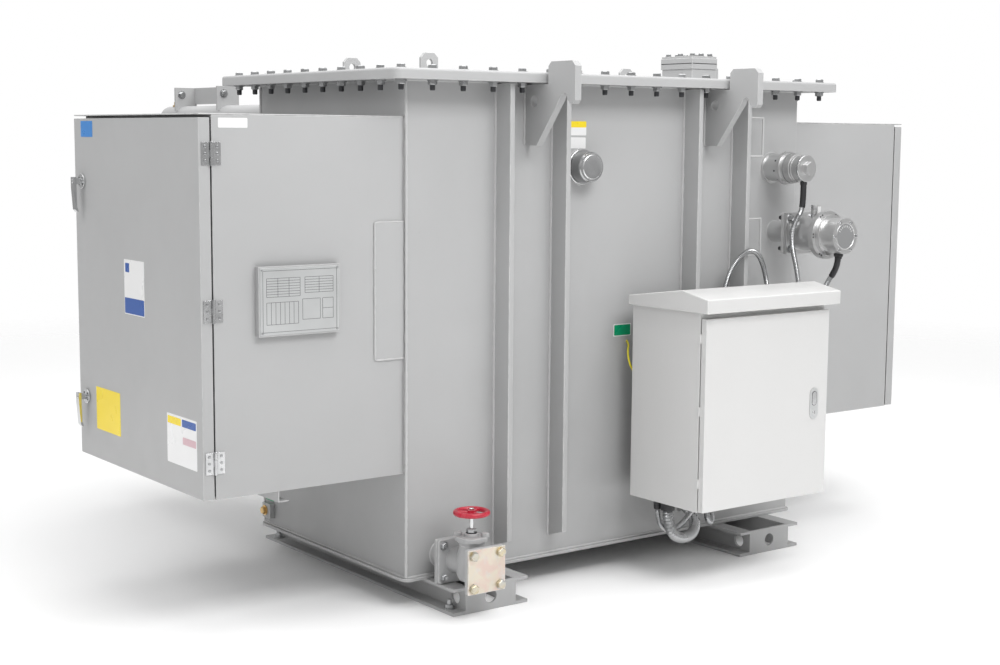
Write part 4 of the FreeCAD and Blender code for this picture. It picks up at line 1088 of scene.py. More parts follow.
@dataclass
class TerminalCabinet:
    """Sheet cabinet at one end of the tank, with its door, hinges and lever handles."""

    side: Side
    prefix: str
    mouth: float
    face: float
    wall: float
    hinge_y: float
    handle_y: float
    hinges_z: tuple[float, ...] = (0.536, 0.972, 1.416)
    handles_z: tuple[float, ...] = (0.624, 1.318)
    front: float = -0.430
    rear: float = 0.460
    floor: float = 0.432
    roof: float = 1.524

    def build(self) -> None:
        """Makes the shell, the door and the fittings."""
        soften_all(GREY, 0.0016, *[f"{self.prefix}_cabinet_{part}" for part in ("sides", "roof", "floor", "frame")])
        softened(f"{self.prefix}_door", GREY, 0.0013)
        soften_all(STEEL, 0.0006, f"{self.prefix}_hinges", f"{self.prefix}_door_hinge_leaves")
        softened(f"{self.prefix}_handle_plates", STEEL, 0.0015, 3)
        for level in ("lower", "upper"):
            softened(f"{self.prefix}_handle_{level}", CHROME, 0.0025, 3)

    def dress(self) -> None:
        """Adds screws, the door seal and the corner welds."""
        out = self.side.value
        door = f"{self.prefix}_door"
        away = X_AXIS * out
        outward_y = -1.0 if self.hinge_y < 0 else 1.0
        edge = self.front if outward_y < 0 else self.rear
        leaf = edge + outward_y * 0.003
        pin_x = self.mouth + out * 0.0025
        fixed = []
        moving = []
        for z in self.hinges_z:
            for rise in (-0.020, 0.0, 0.020):
                fixed.append(((pin_x - out * 0.019, leaf, z + rise), Y_AXIS * outward_y))
                moving.append(((pin_x + out * 0.019, leaf, z + rise), Y_AXIS * outward_y))
        HINGE_SCREW.row(f"{self.prefix}_hinge_screws", fixed, PLATED, seed=31)
        HINGE_SCREW.row(f"{self.prefix}_door_hinge_screws", moving, PLATED, door, seed=32)
        pin_y = self.hinge_y
        pins = Shape()
        for z in self.hinges_z:
            pins.turned([(0.0038, -0.0345), (0.0048, -0.0335), (0.0048, -0.0322)], (pin_x, pin_y, z), Z_AXIS, 20)
            pins.turned([(0.0048, 0.0322), (0.0048, 0.0335), (0.0038, 0.0345)], (pin_x, pin_y, z), Z_AXIS, 20)
        pins.finish(f"{self.prefix}_hinge_pin_ends", CHROME)
        caps = []
        for z in self.handles_z:
            for turn in (35, 145, 215, 325):
                angle = math.radians(turn)
                caps.append(((self.face + out * 0.007, self.handle_y + 0.018 * math.cos(angle),
                              z + 0.018 * math.sin(angle)), away))
        SMALL_SCREW.row(
            f"{self.prefix}_handle_screws", caps, BLACKENED, door, seed=33)
        for level, z in zip(("lower", "upper"), self.handles_z):
            hub = Shape().turned([(0.0065, 0.0), (0.0065, 0.0012), (0.005, 0.0020)],
                                 (self.face + out * 0.036, self.handle_y, z), away, 24)
            hub.finish(f"{self.prefix}_{level}_handle_cap", STEEL, f"{self.prefix}_{level}_handle", 0.0003)
        seal = Shape()
        span = (self.front + 0.0015, self.rear - 0.0015, self.floor + 0.006, self.roof - 0.014)
        start, end = sorted((self.mouth, self.mouth + out * 0.003))
        wide = 0.011
        seal.box((start, span[0], span[2]), (end, span[1], span[2] + wide))
        seal.box((start, span[0], span[3] - wide), (end, span[1], span[3]))
        seal.box((start, span[0], span[2] + wide), (end, span[0] + wide, span[3] - wide))
        seal.box((start, span[1] - wide, span[2] + wide), (end, span[1], span[3] - wide))
        seal.finish(f"{self.prefix}_door_seal", RUBBER, width=0.001)
        seams = []
        for y in (self.front, self.rear):
            seams.append([(self.wall, y, self.floor), (self.wall, y, self.roof)])
        for z in (self.floor - 0.004, self.roof + 0.004):
            seams.append([(self.wall, self.front, z), (self.wall, self.rear, z)])
        weld(f"{self.prefix}_wall_beads", seams, 0.0035, 14)

    def labels(self) -> None:
        """Adds the plain films on the high-voltage door."""
        self.sheet("sky_square", (0.312, 1.458), (0.404, 1.508), SKY_FILM, 0.0006)
        self.sheet("owner_sheet", (-0.055, 0.921), (0.090, 1.089), WHITE_FILM, 0.0005)
        self.sheet("owner_sheet_band", (-0.052, 0.924), (0.087, 0.972), BLUE_FILM, 0.0009)
        self.sheet("owner_sheet_square", (0.052, 1.050), (0.080, 1.078), BLUE_FILM, 0.0009)
        self.sheet("yellow_sheet", (0.141, 0.528), (0.327, 0.665), YELLOW_FILM, 0.0006)
        self.sheet("white_sheet", (-0.393, 0.509), (-0.197, 0.655), WHITE_FILM, 0.0005)
        self.sheet("white_sheet_yellow_band", (-0.290, 0.626), (-0.202, 0.648), YELLOW_FILM, 0.0009)
        self.sheet("white_sheet_blue_band", (-0.388, 0.626), (-0.298, 0.648), BLUE_FILM, 0.0009)
        film("side_tag", (-1.452, self.front - 0.0006, 1.488), (-1.360, self.front, 1.516), 1, WHITE_FILM)
        self.sheet("white_sheet_rose_band", (-0.388, 0.575), (-0.302, 0.596), ROSE_FILM, 0.0009)

    def sheet(self, name: str, low: tuple[float, float], high: tuple[float, float], finish: Finish,
              rise: float) -> None:
        """Lays one plain film on the high-voltage door's face.

        Args:
            name: the piece's name.
            low: its lowest corner in Y and Z.
            high: its highest corner.
            finish: its finish.
            rise: how far it stands out.
        """
        film(name, (self.face - rise, *low), (self.face, *high), 0, finish, f"{self.prefix}_door")


@dataclass
class Nameplate:
    """Engraved plate with plain ruled boxes on its folded tray."""

    rule: float = 0.0011
    rise: float = 0.00025

    def build(self) -> None:
        """Makes the tray and the plate."""
        softened("nameplate_tray", GREY, 0.0012)
        softened("nameplate", ENGRAVED, 0.0005)

    def lines(self, shape: Shape, low: tuple[float, float], high: tuple[float, float], columns: int,
              rows: int, face: float) -> None:
        """Rules a grid of boxes.

        Args:
            shape: where the lines go.
            low: the grid's lowest corner in X and Z.
            high: its highest corner.
            columns: boxes across.
            rows: boxes up.
            face: the plate's front in Y.
        """
        half = self.rule / 2
        for index in range(columns + 1):
            x = low[0] + (high[0] - low[0]) * index / columns
            shape.box((x - half, face - self.rise, low[1]), (x + half, face + 0.0002, high[1]))
        for index in range(rows + 1):
            z = low[1] + (high[1] - low[1]) * index / rows
            shape.box((low[0], face - self.rise, z - half), (high[0], face + 0.0002, z + half))

    def dress(self) -> None:
        """Adds the ruled boxes and four screws."""
        low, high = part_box("nameplate")
        face = low.y
        ink = Shape()
        self.lines(ink, (low.x + 0.008, low.z + 0.008), (high.x - 0.008, high.z - 0.008), 1, 1, face)
        self.lines(ink, (low.x + 0.020, low.z + 0.110), (low.x + 0.130, high.z - 0.030), 3, 7, face)
        self.lines(ink, (high.x - 0.115, low.z + 0.118), (high.x - 0.020, high.z - 0.030), 2, 6, face)
        self.lines(ink, (low.x + 0.020, low.z + 0.030), (low.x + 0.124, low.z + 0.094), 7, 1, face)
        self.lines(ink, (low.x + 0.138, low.z + 0.040), (high.x - 0.064, low.z + 0.100), 1, 1, face)
        self.lines(ink, (high.x - 0.056, low.z + 0.040), (high.x - 0.020, low.z + 0.100), 1, 2, face)
        ink.finish("nameplate_rules", INK)
        corners = [((x, face, z), -Y_AXIS) for x in (low.x + 0.006, high.x - 0.006)
                   for z in (low.z + 0.006, high.z - 0.006)]
        NAMEPLATE_SCREW.row("nameplate_screws", corners, PLATED)


@dataclass
class ControlBox:
    """Wall-hung box with its pitched hood, door, lock and glands."""

    face: float = -0.873
    bottom: float = 0.269
    door: str = "control_box_door"

    def build(self) -> None:
        """Makes the body, door and hood."""
        softened("control_box_body", IVORY, 0.0025, 3)
        softened("control_box_door", IVORY, 0.003, 3)
        softened("control_box_hood", IVORY, 0.0035, 3)
        softened("control_box_packers", GREY, 0.0015)

    def dress(self) -> None:
        """Adds the lock plate, seal and glands."""
        face = self.face
        plate = Shape().prism(rounded_outline((0.507, 0.530), (0.547, 0.636), 0.0195, 8), 1, face - 0.0030, face)
        plate.finish("lock_plate", ENGRAVED, self.door, 0.0008)
        grip = Shape().prism(rounded_outline((0.517, 0.578), (0.537, 0.624), 0.0098, 8), 1, face - 0.0042, face)
        grip.finish("lock_lever", STEEL, self.door, 0.0010)
        # Painted shade: a black outline round the lever stands for the shaded recess.
        groove_shade = Shape().prism(rounded_outline((0.5155, 0.5765), (0.5385, 0.6255), 0.0112, 8), 1, face - 0.0033,
                               face)
        groove_shade.finish("lock_groove", BLACKENED, self.door)
        barrel = Shape().turned([(0.0075, 0.0), (0.0075, 0.0038), (0.0068, 0.0044)], (0.527, face, 0.553), -Y_AXIS,
                                24)
        barrel.finish("lock_barrel", STEEL, self.door, 0.0003)
        # Painted shade: a black slab stands for the shaded keyhole.
        slit_shade = Shape().box((0.5262, face - 0.0048, 0.5485), (0.5278, face - 0.004, 0.5575))
        slit_shade.finish("lock_slit", BLACKENED, self.door)
        low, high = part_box("control_box_body")
        seal = Shape()
        inside = (low.x + 0.010, high.x - 0.010, self.bottom + 0.010, 0.888)
        front = low.y
        seal.box((inside[0], front - 0.003, inside[2]), (inside[1], front, inside[2] + 0.010))
        seal.box((inside[0], front - 0.003, inside[3] - 0.010), (inside[1], front, inside[3]))
        seal.box((inside[0], front - 0.003, inside[2] + 0.010), (inside[0] + 0.010, front, inside[3] - 0.010))
        seal.box((inside[1] - 0.010, front - 0.003, inside[2] + 0.010), (inside[1], front, inside[3] - 0.010))
        seal.finish("control_box_seal", RUBBER, width=0.001)
        glands = Shape()
        for x, y, radius in ((0.048, -0.680, 0.019), (0.034, -0.645, 0.0095), (0.292, -0.612, 0.0105)):
            glands.turned([(radius * 1.45, 0.0), (radius * 1.45, 0.010)], (x, y, self.bottom), -Z_AXIS, 6)
            glands.turned([(radius * 1.25, 0.010), (radius * 1.25, 0.022), (radius * 1.1, 0.027)],
                          (x, y, self.bottom), -Z_AXIS, 20)
        glands.finish("box_glands", RUBBER, width=0.0008)
        sides = Shape()
        for x, y, z, radius in ((0.595, -0.606, 0.712, 0.0095), (0.595, -0.648, 0.698, 0.0095)):
            sides.turned([(radius * 1.5, 0.0), (radius * 1.5, 0.008), (radius * 1.2, 0.012), (radius * 1.2, 0.020)],
                         (x, y, z), X_AXIS, 6)
        sides.finish("side_glands", RUBBER, width=0.0008)


@dataclass
class Gauges:
    """Tap changer cap, winding temperature gauge and oil level gauge."""

    tap: tuple[float, float] = (-0.145, 1.372)
    temperature: tuple[float, float] = (0.742, 1.364)
    level: tuple[float, float] = (0.766, 1.134)
    wall: float = -0.440

    def build(self) -> None:
        """Makes the turned bodies."""
        x, z = self.tap
        base = Shape().turned([(0.059, 0.0), (0.059, 0.008), (0.057, 0.010)], (x, self.wall, z), -Y_AXIS, 64)
        base.finish("tap_base_ring", CHROME, width=0.0008, nodes=("tap_changer_cap",))
        barrel = Shape().turned([(0.050, 0.010), (0.050, 0.050), (0.048, 0.052)], (x, self.wall, z), -Y_AXIS, 64)
        barrel.finish("tap_barrel", DARK_GREY, width=0.0008)
        face = [(0.0495, 0.044), (0.0495, 0.053), (0.047, 0.056), (0.047, 0.058), (0.040, 0.0585),
                (0.038, 0.0605), (0.022, 0.062)]
        Shape().turned(face, (x, self.wall, z), -Y_AXIS, 64).finish("tap_face", CHROME, width=0.0006)
        softened("temperature_gauge", ALLOY, 0.0016, 2)
        softened("level_gauge_pipe", GREY, 0.0025, 3)
        softened("level_gauge", ALLOY, 0.0022, 3)

    def dress(self) -> None:
        """Adds rings, screws, flange bolts, end dials and the breather."""
        x, z = self.temperature
        studs = []
        for turn in range(0, 360, 45):
            angle = math.radians(turn + 12)
            outward = Vector((math.cos(angle), 0.0, math.sin(angle)))
            studs.append(((x + 0.048 * outward.x, self.wall - 0.060, z + 0.048 * outward.z), outward))
        STUD_SCREW.row("temperature_screws", studs, BLACKENED)
        joint = Shape().turned([(0.0535, 0.104), (0.0535, 0.107)], (x, self.wall, z), -Y_AXIS, 56)
        joint.finish("temperature_joint", DARK_GREY)
        rim = Shape().turned([(0.0475, 0.166), (0.0475, 0.172), (0.0462, 0.174)], (x, self.wall, z), -Y_AXIS, 56)
        rim.finish("temperature_rim", CHROME, width=0.0004)
        x, z = self.level
        flange_bolts = []
        flange_nuts = []
        for sx in (-1, 1):
            for sz in (-1, 1):
                flange_bolts.append(((x + sx * 0.055, -0.571, z + sz * 0.055), -Y_AXIS))
                flange_nuts.append(((x + sx * 0.055, -0.543, z + sz * 0.055), Y_AXIS))
        LEVEL_FLANGE_BOLT.row("level_flange_bolts", flange_bolts, PLATED, seed=41)
        LEVEL_FLANGE_NUT.row("level_flange_nuts", flange_nuts, BLACKENED,
                                                                    seed=42)
        gasket = Shape().prism(rounded_outline((x - 0.070, z - 0.070), (x + 0.070, z + 0.070), 0.012), 1, -0.5582,
                               -0.5558)
        gasket.finish("level_flange_gasket", BLACKENED)
        pairs = []
        for turn in range(0, 360, 60):
            for nudge in (-4, 4):
                angle = math.radians(turn + nudge)
                pairs.append(((x + 0.078 * math.cos(angle), -0.702, z + 0.078 * math.sin(angle)), -Y_AXIS))
        SMALL_SCREW.row("level_ring_screws", pairs, BLACKENED)
        ends = [((x + 0.054 * math.cos(math.radians(turn)), -0.778, z + 0.054 * math.sin(math.radians(turn))),
                 -Y_AXIS) for turn in range(0, 360, 60)]
        LEVEL_END_SCREW.row("level_end_screws", ends, CHROME, seed=43)
        dial = Shape().turned([(0.0465, 0.0), (0.0465, 0.0018), (0.0450, 0.0026), (0.0435, 0.0010), (0.001, 0.0010)],
                              (x, -0.778, z), -Y_AXIS, 56)
        dial.finish("level_dial", ALLOY)
        face = Shape().turned([(0.0430, 0.0), (0.0430, 0.0013), (0.001, 0.0013)], (x, -0.778, z), -Y_AXIS, 56)
        face.finish("level_dial_face", DARK_GREY)
        ticks = Shape()
        for step in range(9):
            angle = math.radians(30 + 15 * step)
            inner = Vector((math.cos(angle) * 0.031, 0.0, math.sin(angle) * 0.031))
            tip = Vector((math.cos(angle) * 0.038, 0.0, math.sin(angle) * 0.038))
            across = Vector((-math.sin(angle), 0.0, math.cos(angle))) * 0.0009
            corners = [inner - across, inner + across, tip + across, tip - across]
            seat = Vector((x, -0.7791, z))
            ticks.loft([[seat + corner for corner in corners],
                        [seat + corner + Vector((0.0, -0.0006, 0.0)) for corner in corners]])
        ticks.finish("level_ticks", WHITE_FILM)
        ridge = Shape().turned([(0.0725, 0.122), (0.0725, 0.125)], (x, -0.571, z), -Y_AXIS, 64)
        ridge.finish("level_joint", DARK_GREY)
        knob = Shape().turned([(0.0142, 0.0), (0.0142, 0.010), (0.009, 0.014), (0.009, 0.020), (0.0142, 0.024),
                               (0.0142, 0.034), (0.011, 0.0405)], (x, -0.636, z + 0.062), Z_AXIS, 20)
        knob.finish("level_breather", CHROME, width=0.001)
        tag = Shape().box((x - 0.004, -0.652, z + 0.072), (x + 0.012, -0.6505, z + 0.098))
        tag.finish("level_tag", WHITE_FILM)
        weld("gauge_beads", [ring_path((x, self.wall, z), 0.038, 1), ring_path((x, -0.543, z), 0.038, 1),
                             ring_path((self.temperature[0], self.wall, self.temperature[1]), 0.054, 1),
                             ring_path((self.tap[0], self.wall, self.tap[1]), 0.059, 1)], 0.0032, 15)


@dataclass
class Conduits:
    """Ribbed conduits between the gauges, the tank and the control box, and the earth wire."""

    temperature: tuple[Point, ...] = (
        (0.742, -0.600, 1.345), (0.743, -0.600, 1.262), (0.736, -0.600, 1.214), (0.706, -0.602, 1.182),
        (0.688, -0.603, 1.148), (0.686, -0.603, 1.110), (0.697, -0.602, 1.068), (0.717, -0.600, 1.018),
        (0.732, -0.600, 0.960), (0.738, -0.602, 0.890), (0.726, -0.604, 0.820), (0.695, -0.606, 0.762),
        (0.650, -0.606, 0.722), (0.595, -0.606, 0.712))
    level: tuple[Point, ...] = (
        (0.766, -0.750, 1.100), (0.766, -0.750, 1.050), (0.767, -0.736, 1.010), (0.764, -0.702, 0.965),
        (0.756, -0.680, 0.905), (0.740, -0.662, 0.840), (0.712, -0.652, 0.778), (0.668, -0.648, 0.722),
        (0.595, -0.648, 0.698))
    arch: tuple[Point, ...] = (
        (0.034, -0.645, 0.269), (0.036, -0.645, 0.215), (0.060, -0.640, 0.174), (0.115, -0.625, 0.152),
        (0.185, -0.600, 0.156), (0.250, -0.575, 0.182), (0.310, -0.554, 0.212), (0.365, -0.532, 0.228),
        (0.402, -0.498, 0.256), (0.420, -0.482, 0.320), (0.440, -0.480, 0.500), (0.462, -0.480, 0.800),
        (0.478, -0.486, 0.950), (0.488, -0.508, 1.018), (0.512, -0.534, 1.064), (0.550, -0.537, 1.080),
        (0.600, -0.528, 1.064), (0.645, -0.510, 1.018), (0.676, -0.500, 0.950), (0.690, -0.500, 0.870),
        (0.695, -0.498, 0.800), (0.695, -0.482, 0.762), (0.695, -0.436, 0.735))
    wide: tuple[Point, ...] = (
        (0.048, -0.680, 0.269), (0.050, -0.680, 0.205), (0.082, -0.672, 0.150), (0.150, -0.655, 0.126),
        (0.228, -0.620, 0.128), (0.280, -0.572, 0.156), (0.285, -0.522, 0.190), (0.285, -0.478, 0.208),
        (0.285, -0.436, 0.208))
    middle: tuple[Point, ...] = (
        (0.292, -0.612, 0.269), (0.293, -0.612, 0.205), (0.308, -0.602, 0.158), (0.350, -0.576, 0.136),
        (0.395, -0.535, 0.150), (0.410, -0.484, 0.178), (0.410, -0.436, 0.186))
    earth: tuple[Point, ...] = (
        (0.068, -0.436, 0.783), (0.058, -0.462, 0.774), (0.033, -0.484, 0.757), (0.024, -0.500, 0.725),
        (0.031, -0.510, 0.695), (0.044, -0.518, 0.682), (0.050, -0.526, 0.680))

    def route(self, name: str, points: tuple[Point, ...]) -> bpy.types.Curve:
        """One smooth spline through the route's control points.

        Args:
            name: the curve's name.
            points: its control points.

        Returns:
            The curve.
        """
        curve = bpy.data.curves.new(name, "CURVE")
        curve.dimensions = "3D"
        curve.resolution_u = 14
        run = curve.splines.new("NURBS")
        run.points.add(len(points) - 1)
        for point, place in zip(run.points, points):
            point.co = (*place, 1.0)
        run.order_u = 3
        run.use_endpoint_u = True
        return curve

    def sheath(self, name: str, points: tuple[Point, ...], radius: float, finish: Finish, start: float = 0.0,
               end: float = 5.0, pitch: float = 0.0027, depth: float = 0.2, sides: int = 14,
               nodes: tuple[str, ...] = ()) -> bpy.types.Object:
        """Covers part of a route.

        Args:
            name: the piece's name.
            points: the route.
            radius: the outer radius.
            finish: its finish.
            start: where it starts along the route.
            end: where it ends.
            pitch: half the distance from rib to rib.
            depth: depth of the grooves as a share of the radius.
            sides: points round it.
            nodes: the CAD nodes that it stands for.

        Returns:
            The new piece.
        """
        values = {"Radius": radius, "Rib Depth": depth, "Pitch": pitch, "Sides": sides, "Start": start, "End": end}
        mesh = graphs().sheath.grow(self.route(name + "_route", points), values, finish)
        return piece(mesh, name, finish, nodes=nodes, angle=50.0)

    def build(self) -> None:
        """Makes the conduits and boots."""
        thin = 0.0095
        self.sheath("temperature_conduit", self.temperature, thin, CONDUIT, 0.150, nodes=("gauge_conduits",))
        self.sheath("temperature_sleeve", self.temperature, 0.0090, CONDUIT, 0.070, 0.150, 0.006, 0.0)
        self.sheath("temperature_boot", self.temperature, 0.0108, RUBBER, 0.025, 0.118, 0.006, 0.02)
        self.sheath("level_conduit", self.level, thin, CONDUIT, 0.110)
        self.sheath("level_boot", self.level, 0.0108, RUBBER, 0.028, 0.115, 0.006, 0.02)
        self.sheath("arch_conduit", self.arch, thin, CONDUIT, nodes=("box_conduits",))
        self.sheath("wide_conduit", self.wide, 0.019, CONDUIT, pitch=0.0056, depth=0.22, sides=22)
        self.sheath("middle_conduit", self.middle, 0.0105, CONDUIT)
        self.sheath("earth_wire_yellow", self.earth, 0.0035, YELLOW_SHEATH, pitch=0.004, depth=0.0, sides=12,
                    nodes=("earth_wire",))

    def dress(self) -> None:
        """Adds the glands and wall fittings at their ends."""
        nut = Shape().turned([(0.0165, 0.0), (0.0165, 0.014), (0.0150, 0.017)], (0.766, -0.750, 1.078), -Z_AXIS, 6)
        nut.turned([(0.0125, 0.014), (0.0125, 0.024)], (0.766, -0.750, 1.078), -Z_AXIS, 20)
        nut.finish("level_gland", RUBBER, width=0.0008)
        collar = Shape().turned([(0.0125, 0.0), (0.0125, 0.010), (0.011, 0.013)], (0.742, -0.600, 1.318), -Z_AXIS, 6)
        collar.finish("temperature_gland", RUBBER, width=0.0006)
        ends = Shape()
        for x, z, radius in ((0.695, 0.735, 0.0095), (0.285, 0.208, 0.019), (0.410, 0.186, 0.0105)):
            ends.turned([(radius * 1.45, 0.0), (radius * 1.45, 0.010), (radius * 1.2, 0.013),
                         (radius * 1.2, 0.020)], (x, -0.440, z), -Y_AXIS, 6)
        ends.finish("wall_glands", PLATED, width=0.0008)


@dataclass
class DrainValve:
    """Flanged drain valve with its handwheel and blank plate."""

    x: float = -0.700
    y: float = -0.608
    z: float = 0.158
    half: float = 0.070
    near: float = -0.520
    far: float = -0.684
    bonnet: float = 0.234

    def build(self) -> None:
        """Makes the stub, the cast body, the wheel and the plate."""
        softened("drain_stub", GREY, 0.002, 3)
        body = Shape()
        outline = rounded_outline((self.x - self.half, self.z - self.half), (self.x + self.half, self.z + self.half),
                                  0.008, 4)
        body.prism(outline, 1, self.near - 0.012, self.near)
        body.prism(outline, 1, self.far, self.far + 0.014)
        body.turned([(0.044, 0.0), (0.040, 0.018), (0.040, 0.126), (0.044, 0.140)],
                    (self.x, self.near - 0.011, self.z), -Y_AXIS, 40)
        body.turned([(0.024, -0.052), (0.038, -0.046), (0.0455, -0.030), (0.046, 0.0), (0.045, 0.028),
                     (0.040, 0.050), (0.038, 0.064), (0.044, 0.074), (0.046, 0.077)],
                    (self.x, self.y, self.z), Z_AXIS, 40)
        flange = rounded_outline((self.x - 0.045, self.y - 0.045), (self.x + 0.045, self.y + 0.045), 0.028, 8)
        body.prism(flange, 2, self.bonnet, self.bonnet + 0.015)
        body.turned([(0.023, 0.015), (0.021, 0.019), (0.0205, 0.024)], (self.x, self.y, self.bonnet), Z_AXIS, 32)
        body.finish("drain_valve_body", VALVE_CAST, width=0.0022, nodes=("drain_valve",), segments=3)
        gland = Shape().turned([(0.0165, 0.0), (0.0165, 0.009), (0.0145, 0.012)],
                               (self.x, self.y, self.bonnet + 0.027), Z_AXIS, 6, 15.0)
        gland.finish("drain_gland_nut", PLATED, width=0.0008)
        ring = Shape().turned([(0.0172, 0.0), (0.0172, 0.003)], (self.x, self.y, self.bonnet + 0.0242), Z_AXIS, 32)
        ring.finish("drain_gland_ring", BLACKENED)
        stem = Shape().turned([(0.006, 0.0), (0.006, 0.095), (0.0045, 0.097)], (self.x, self.y, self.bonnet + 0.005),
                              Z_AXIS, 24)
        stem.finish("drain_stem", CHROME)
        softened("drain_handwheel", RED, 0.0015, 2)
        softened("drain_blank_plate", ZINC, 0.0010)

    def dress(self) -> None:
        """Adds every bolt of the valve and the weld round the stub."""
        reach = 0.0505
        corners = [(self.x + sx * reach, self.z + sz * reach) for sx in (-1, 1) for sz in (-1, 1)]
        heads = [((x, self.far - 0.006, z), -Y_AXIS) for x, z in corners]
        BLANK_PLATE_BOLT.row("blank_plate_bolts", heads, BOLT_ZINC, seed=51)
        backs = [((x, self.far + 0.014, z), Y_AXIS) for x, z in corners]
        backs += [((x, self.near + 0.012, z), Y_AXIS) for x, z in corners]
        nuts = [((x, self.near - 0.012, z), -Y_AXIS) for x, z in corners]
        VALVE_BOLT.row("flange_bolt_heads", backs, PLATED, seed=52)
        VALVE_NUT.row("flange_nuts", nuts, PLATED, seed=53)
        top = self.bonnet + 0.015
        bonnet = [((self.x - 0.030, self.y + 0.030, top), Z_AXIS), ((self.x + 0.030, self.y - 0.030, top), Z_AXIS)]
        BONNET_BOLT.row("bonnet_bolts", bonnet, VALVE_CAST, seed=54)
        nut = Shape().turned([(0.0082, 0.0), (0.0082, 0.005), (0.007, 0.0065)], (self.x, self.y, 0.330), Z_AXIS, 6)
        nut.finish("handwheel_nut", CHROME, "drain_handwheel", 0.0005)
        weld("drain_beads", [ring_path((self.x, -0.440, self.z), 0.041, 1),
                             ring_path((self.x, self.near + 0.012, self.z), 0.041, 1)], 0.0035, 16)


@dataclass
class Radiators:
    """Two banks of pressed panels on round headers."""

    centres: tuple[float, ...] = (-0.680, 0.720)
    names: tuple[str, ...] = ("left", "right")
    half: float = 0.260
    bottom: float = 0.383
    top: float = 1.541
    thickness: float = 0.012
    first: float = 0.565
    pitch: float = 0.050
    count: int = 19
    flutes: int = 7
    corner: float = 0.030

    def swell(self, across: float, up: float) -> float:
        """Half thickness of the panel.

        Args:
            across: distance from the panel's middle.
            up: height above its bottom edge.

        Returns:
            Half the thickness there, in metres.
        """
        edge = 0.012
        inner = self.half - edge
        share = (across + inner) / (2 * inner)
        if share <= 0.0 or share >= 1.0:
            return 0.0014
        wave = abs(math.sin(math.pi * share * self.flutes)) ** 0.5
        height = self.top - self.bottom
        end = min(1.0, max(0.0, (min(up, height - up) - 0.010) / 0.045))
        return 0.0014 + (self.thickness / 2 - 0.0014) * wave * math.sin(end * math.pi / 2)

    def panel(self, x: float) -> bpy.types.Mesh:
        """One pressed panel.

        Args:
            x: the bank's centre.

        Returns:
            Its mesh, at the first place in the bank.
        """
        height = self.top - self.bottom
        columns = self.flutes * 6
        inner = self.half - 0.012
        xs = [-self.half] + [-inner + 2 * inner * index / columns for index in range(columns + 1)] + [self.half]
        ups = [0.0, 0.004, 0.010, 0.020, 0.032, 0.045, 0.058]
        ups += [height / 2] + [height - up for up in reversed(ups)]
        middle = self.first + self.thickness / 2
        mesh = bmesh.new()
        sheets = []
        for side in (-1.0, 1.0):
            rows = []
            for up in ups:
                near = min(up, height - up)
                cut = 0.0 if near >= self.corner else self.corner - math.sqrt(
                    max(0.0, self.corner ** 2 - (self.corner - near) ** 2))
                share = (self.half - cut) / self.half
                rows.append([mesh.verts.new((x + across * share, middle + side * self.swell(across, up),
                                             self.bottom + up)) for across in xs])
            sheets.append(rows)
        for rows in sheets:
            for first, second in zip(rows, rows[1:]):
                for index in range(len(xs) - 1):
                    mesh.faces.new((first[index], first[index + 1], second[index + 1], second[index]))
        front, back = sheets
        for first, second in ((front[0], back[0]), (front[-1], back[-1])):
            for index in range(len(xs) - 1):
                mesh.faces.new((first[index], first[index + 1], second[index + 1], second[index]))
        for column in (0, -1):
            for row in range(len(ups) - 1):
                mesh.faces.new((front[row][column], front[row + 1][column], back[row + 1][column],
                                back[row][column]))
        bmesh.ops.recalc_face_normals(mesh, faces=mesh.faces)
        data = bpy.data.meshes.new("radiator_panel")
        mesh.to_mesh(data)
        mesh.free()
        return data

    def build(self) -> None:
        """Makes both banks, the headers and the lifting lugs."""
        for name, x in zip(self.names, self.centres):
            mesh = graphs().bank.grow(self.panel(x), {"Count": self.count, "Pitch": self.pitch}, GREY)
            piece(mesh, f"radiator_{name}_bank", GREY, nodes=(f"radiator_{name}_panels",), angle=50.0)
        softened("radiator_headers", GREY, 0.002)
        softened("radiator_lifting_bars", GREY, 0.0)

    def dress(self) -> None:
        """Adds flange bolts, vent plugs, lug bolts and edge bars."""
        bolts = []
        nuts = []
        for x in self.centres:
            for z in (0.433, 1.533):
                for step in range(6):
                    angle = math.radians(30 + 60 * step)
                    spot = (x + 0.064 * math.cos(angle), z + 0.064 * math.sin(angle))
                    bolts.append(((spot[0], 0.533, spot[1]), Y_AXIS))
                    nuts.append(((spot[0], 0.505, spot[1]), -Y_AXIS))
        HEADER_BOLT.row("header_bolts", bolts, PLATED, seed=61)
        HEADER_NUT.row("header_nuts", nuts, PLATED, seed=62)
        lugs = []
        plugs = []
        for x in self.centres:
            for y in (1.013, 1.373):
                lugs.append(((x - 0.018, y, 1.622), -Y_AXIS))
            for y in (0.548, 1.455):
                plugs.append(((x, y, 1.577), Z_AXIS))
        RADIATOR_LUG_BOLT.row("radiator_lug_bolts", lugs, PLATED, seed=63)
        VENT_PLUG.row("radiator_vent_plugs", plugs, BRASS, seed=64)
        bars = Shape()
        last = self.first + self.pitch * (self.count - 1) + self.thickness
        for x in self.centres:
            for z in (0.560, 1.360):
                for side in (-1.0, 1.0):
                    start, end = sorted((x + side * (self.half - 0.004), x + side * (self.half + 0.0005)))
                    bars.box((start, self.first - 0.006, z), (end, last + 0.006, z + 0.025))
        bars.finish("radiator_tie_bars", GREY, width=0.001)
        rings = [ring_path((x, 0.475, z), 0.045, 1) for x in self.centres for z in (0.433, 1.533)]
        weld("header_beads", rings, 0.004, 17)


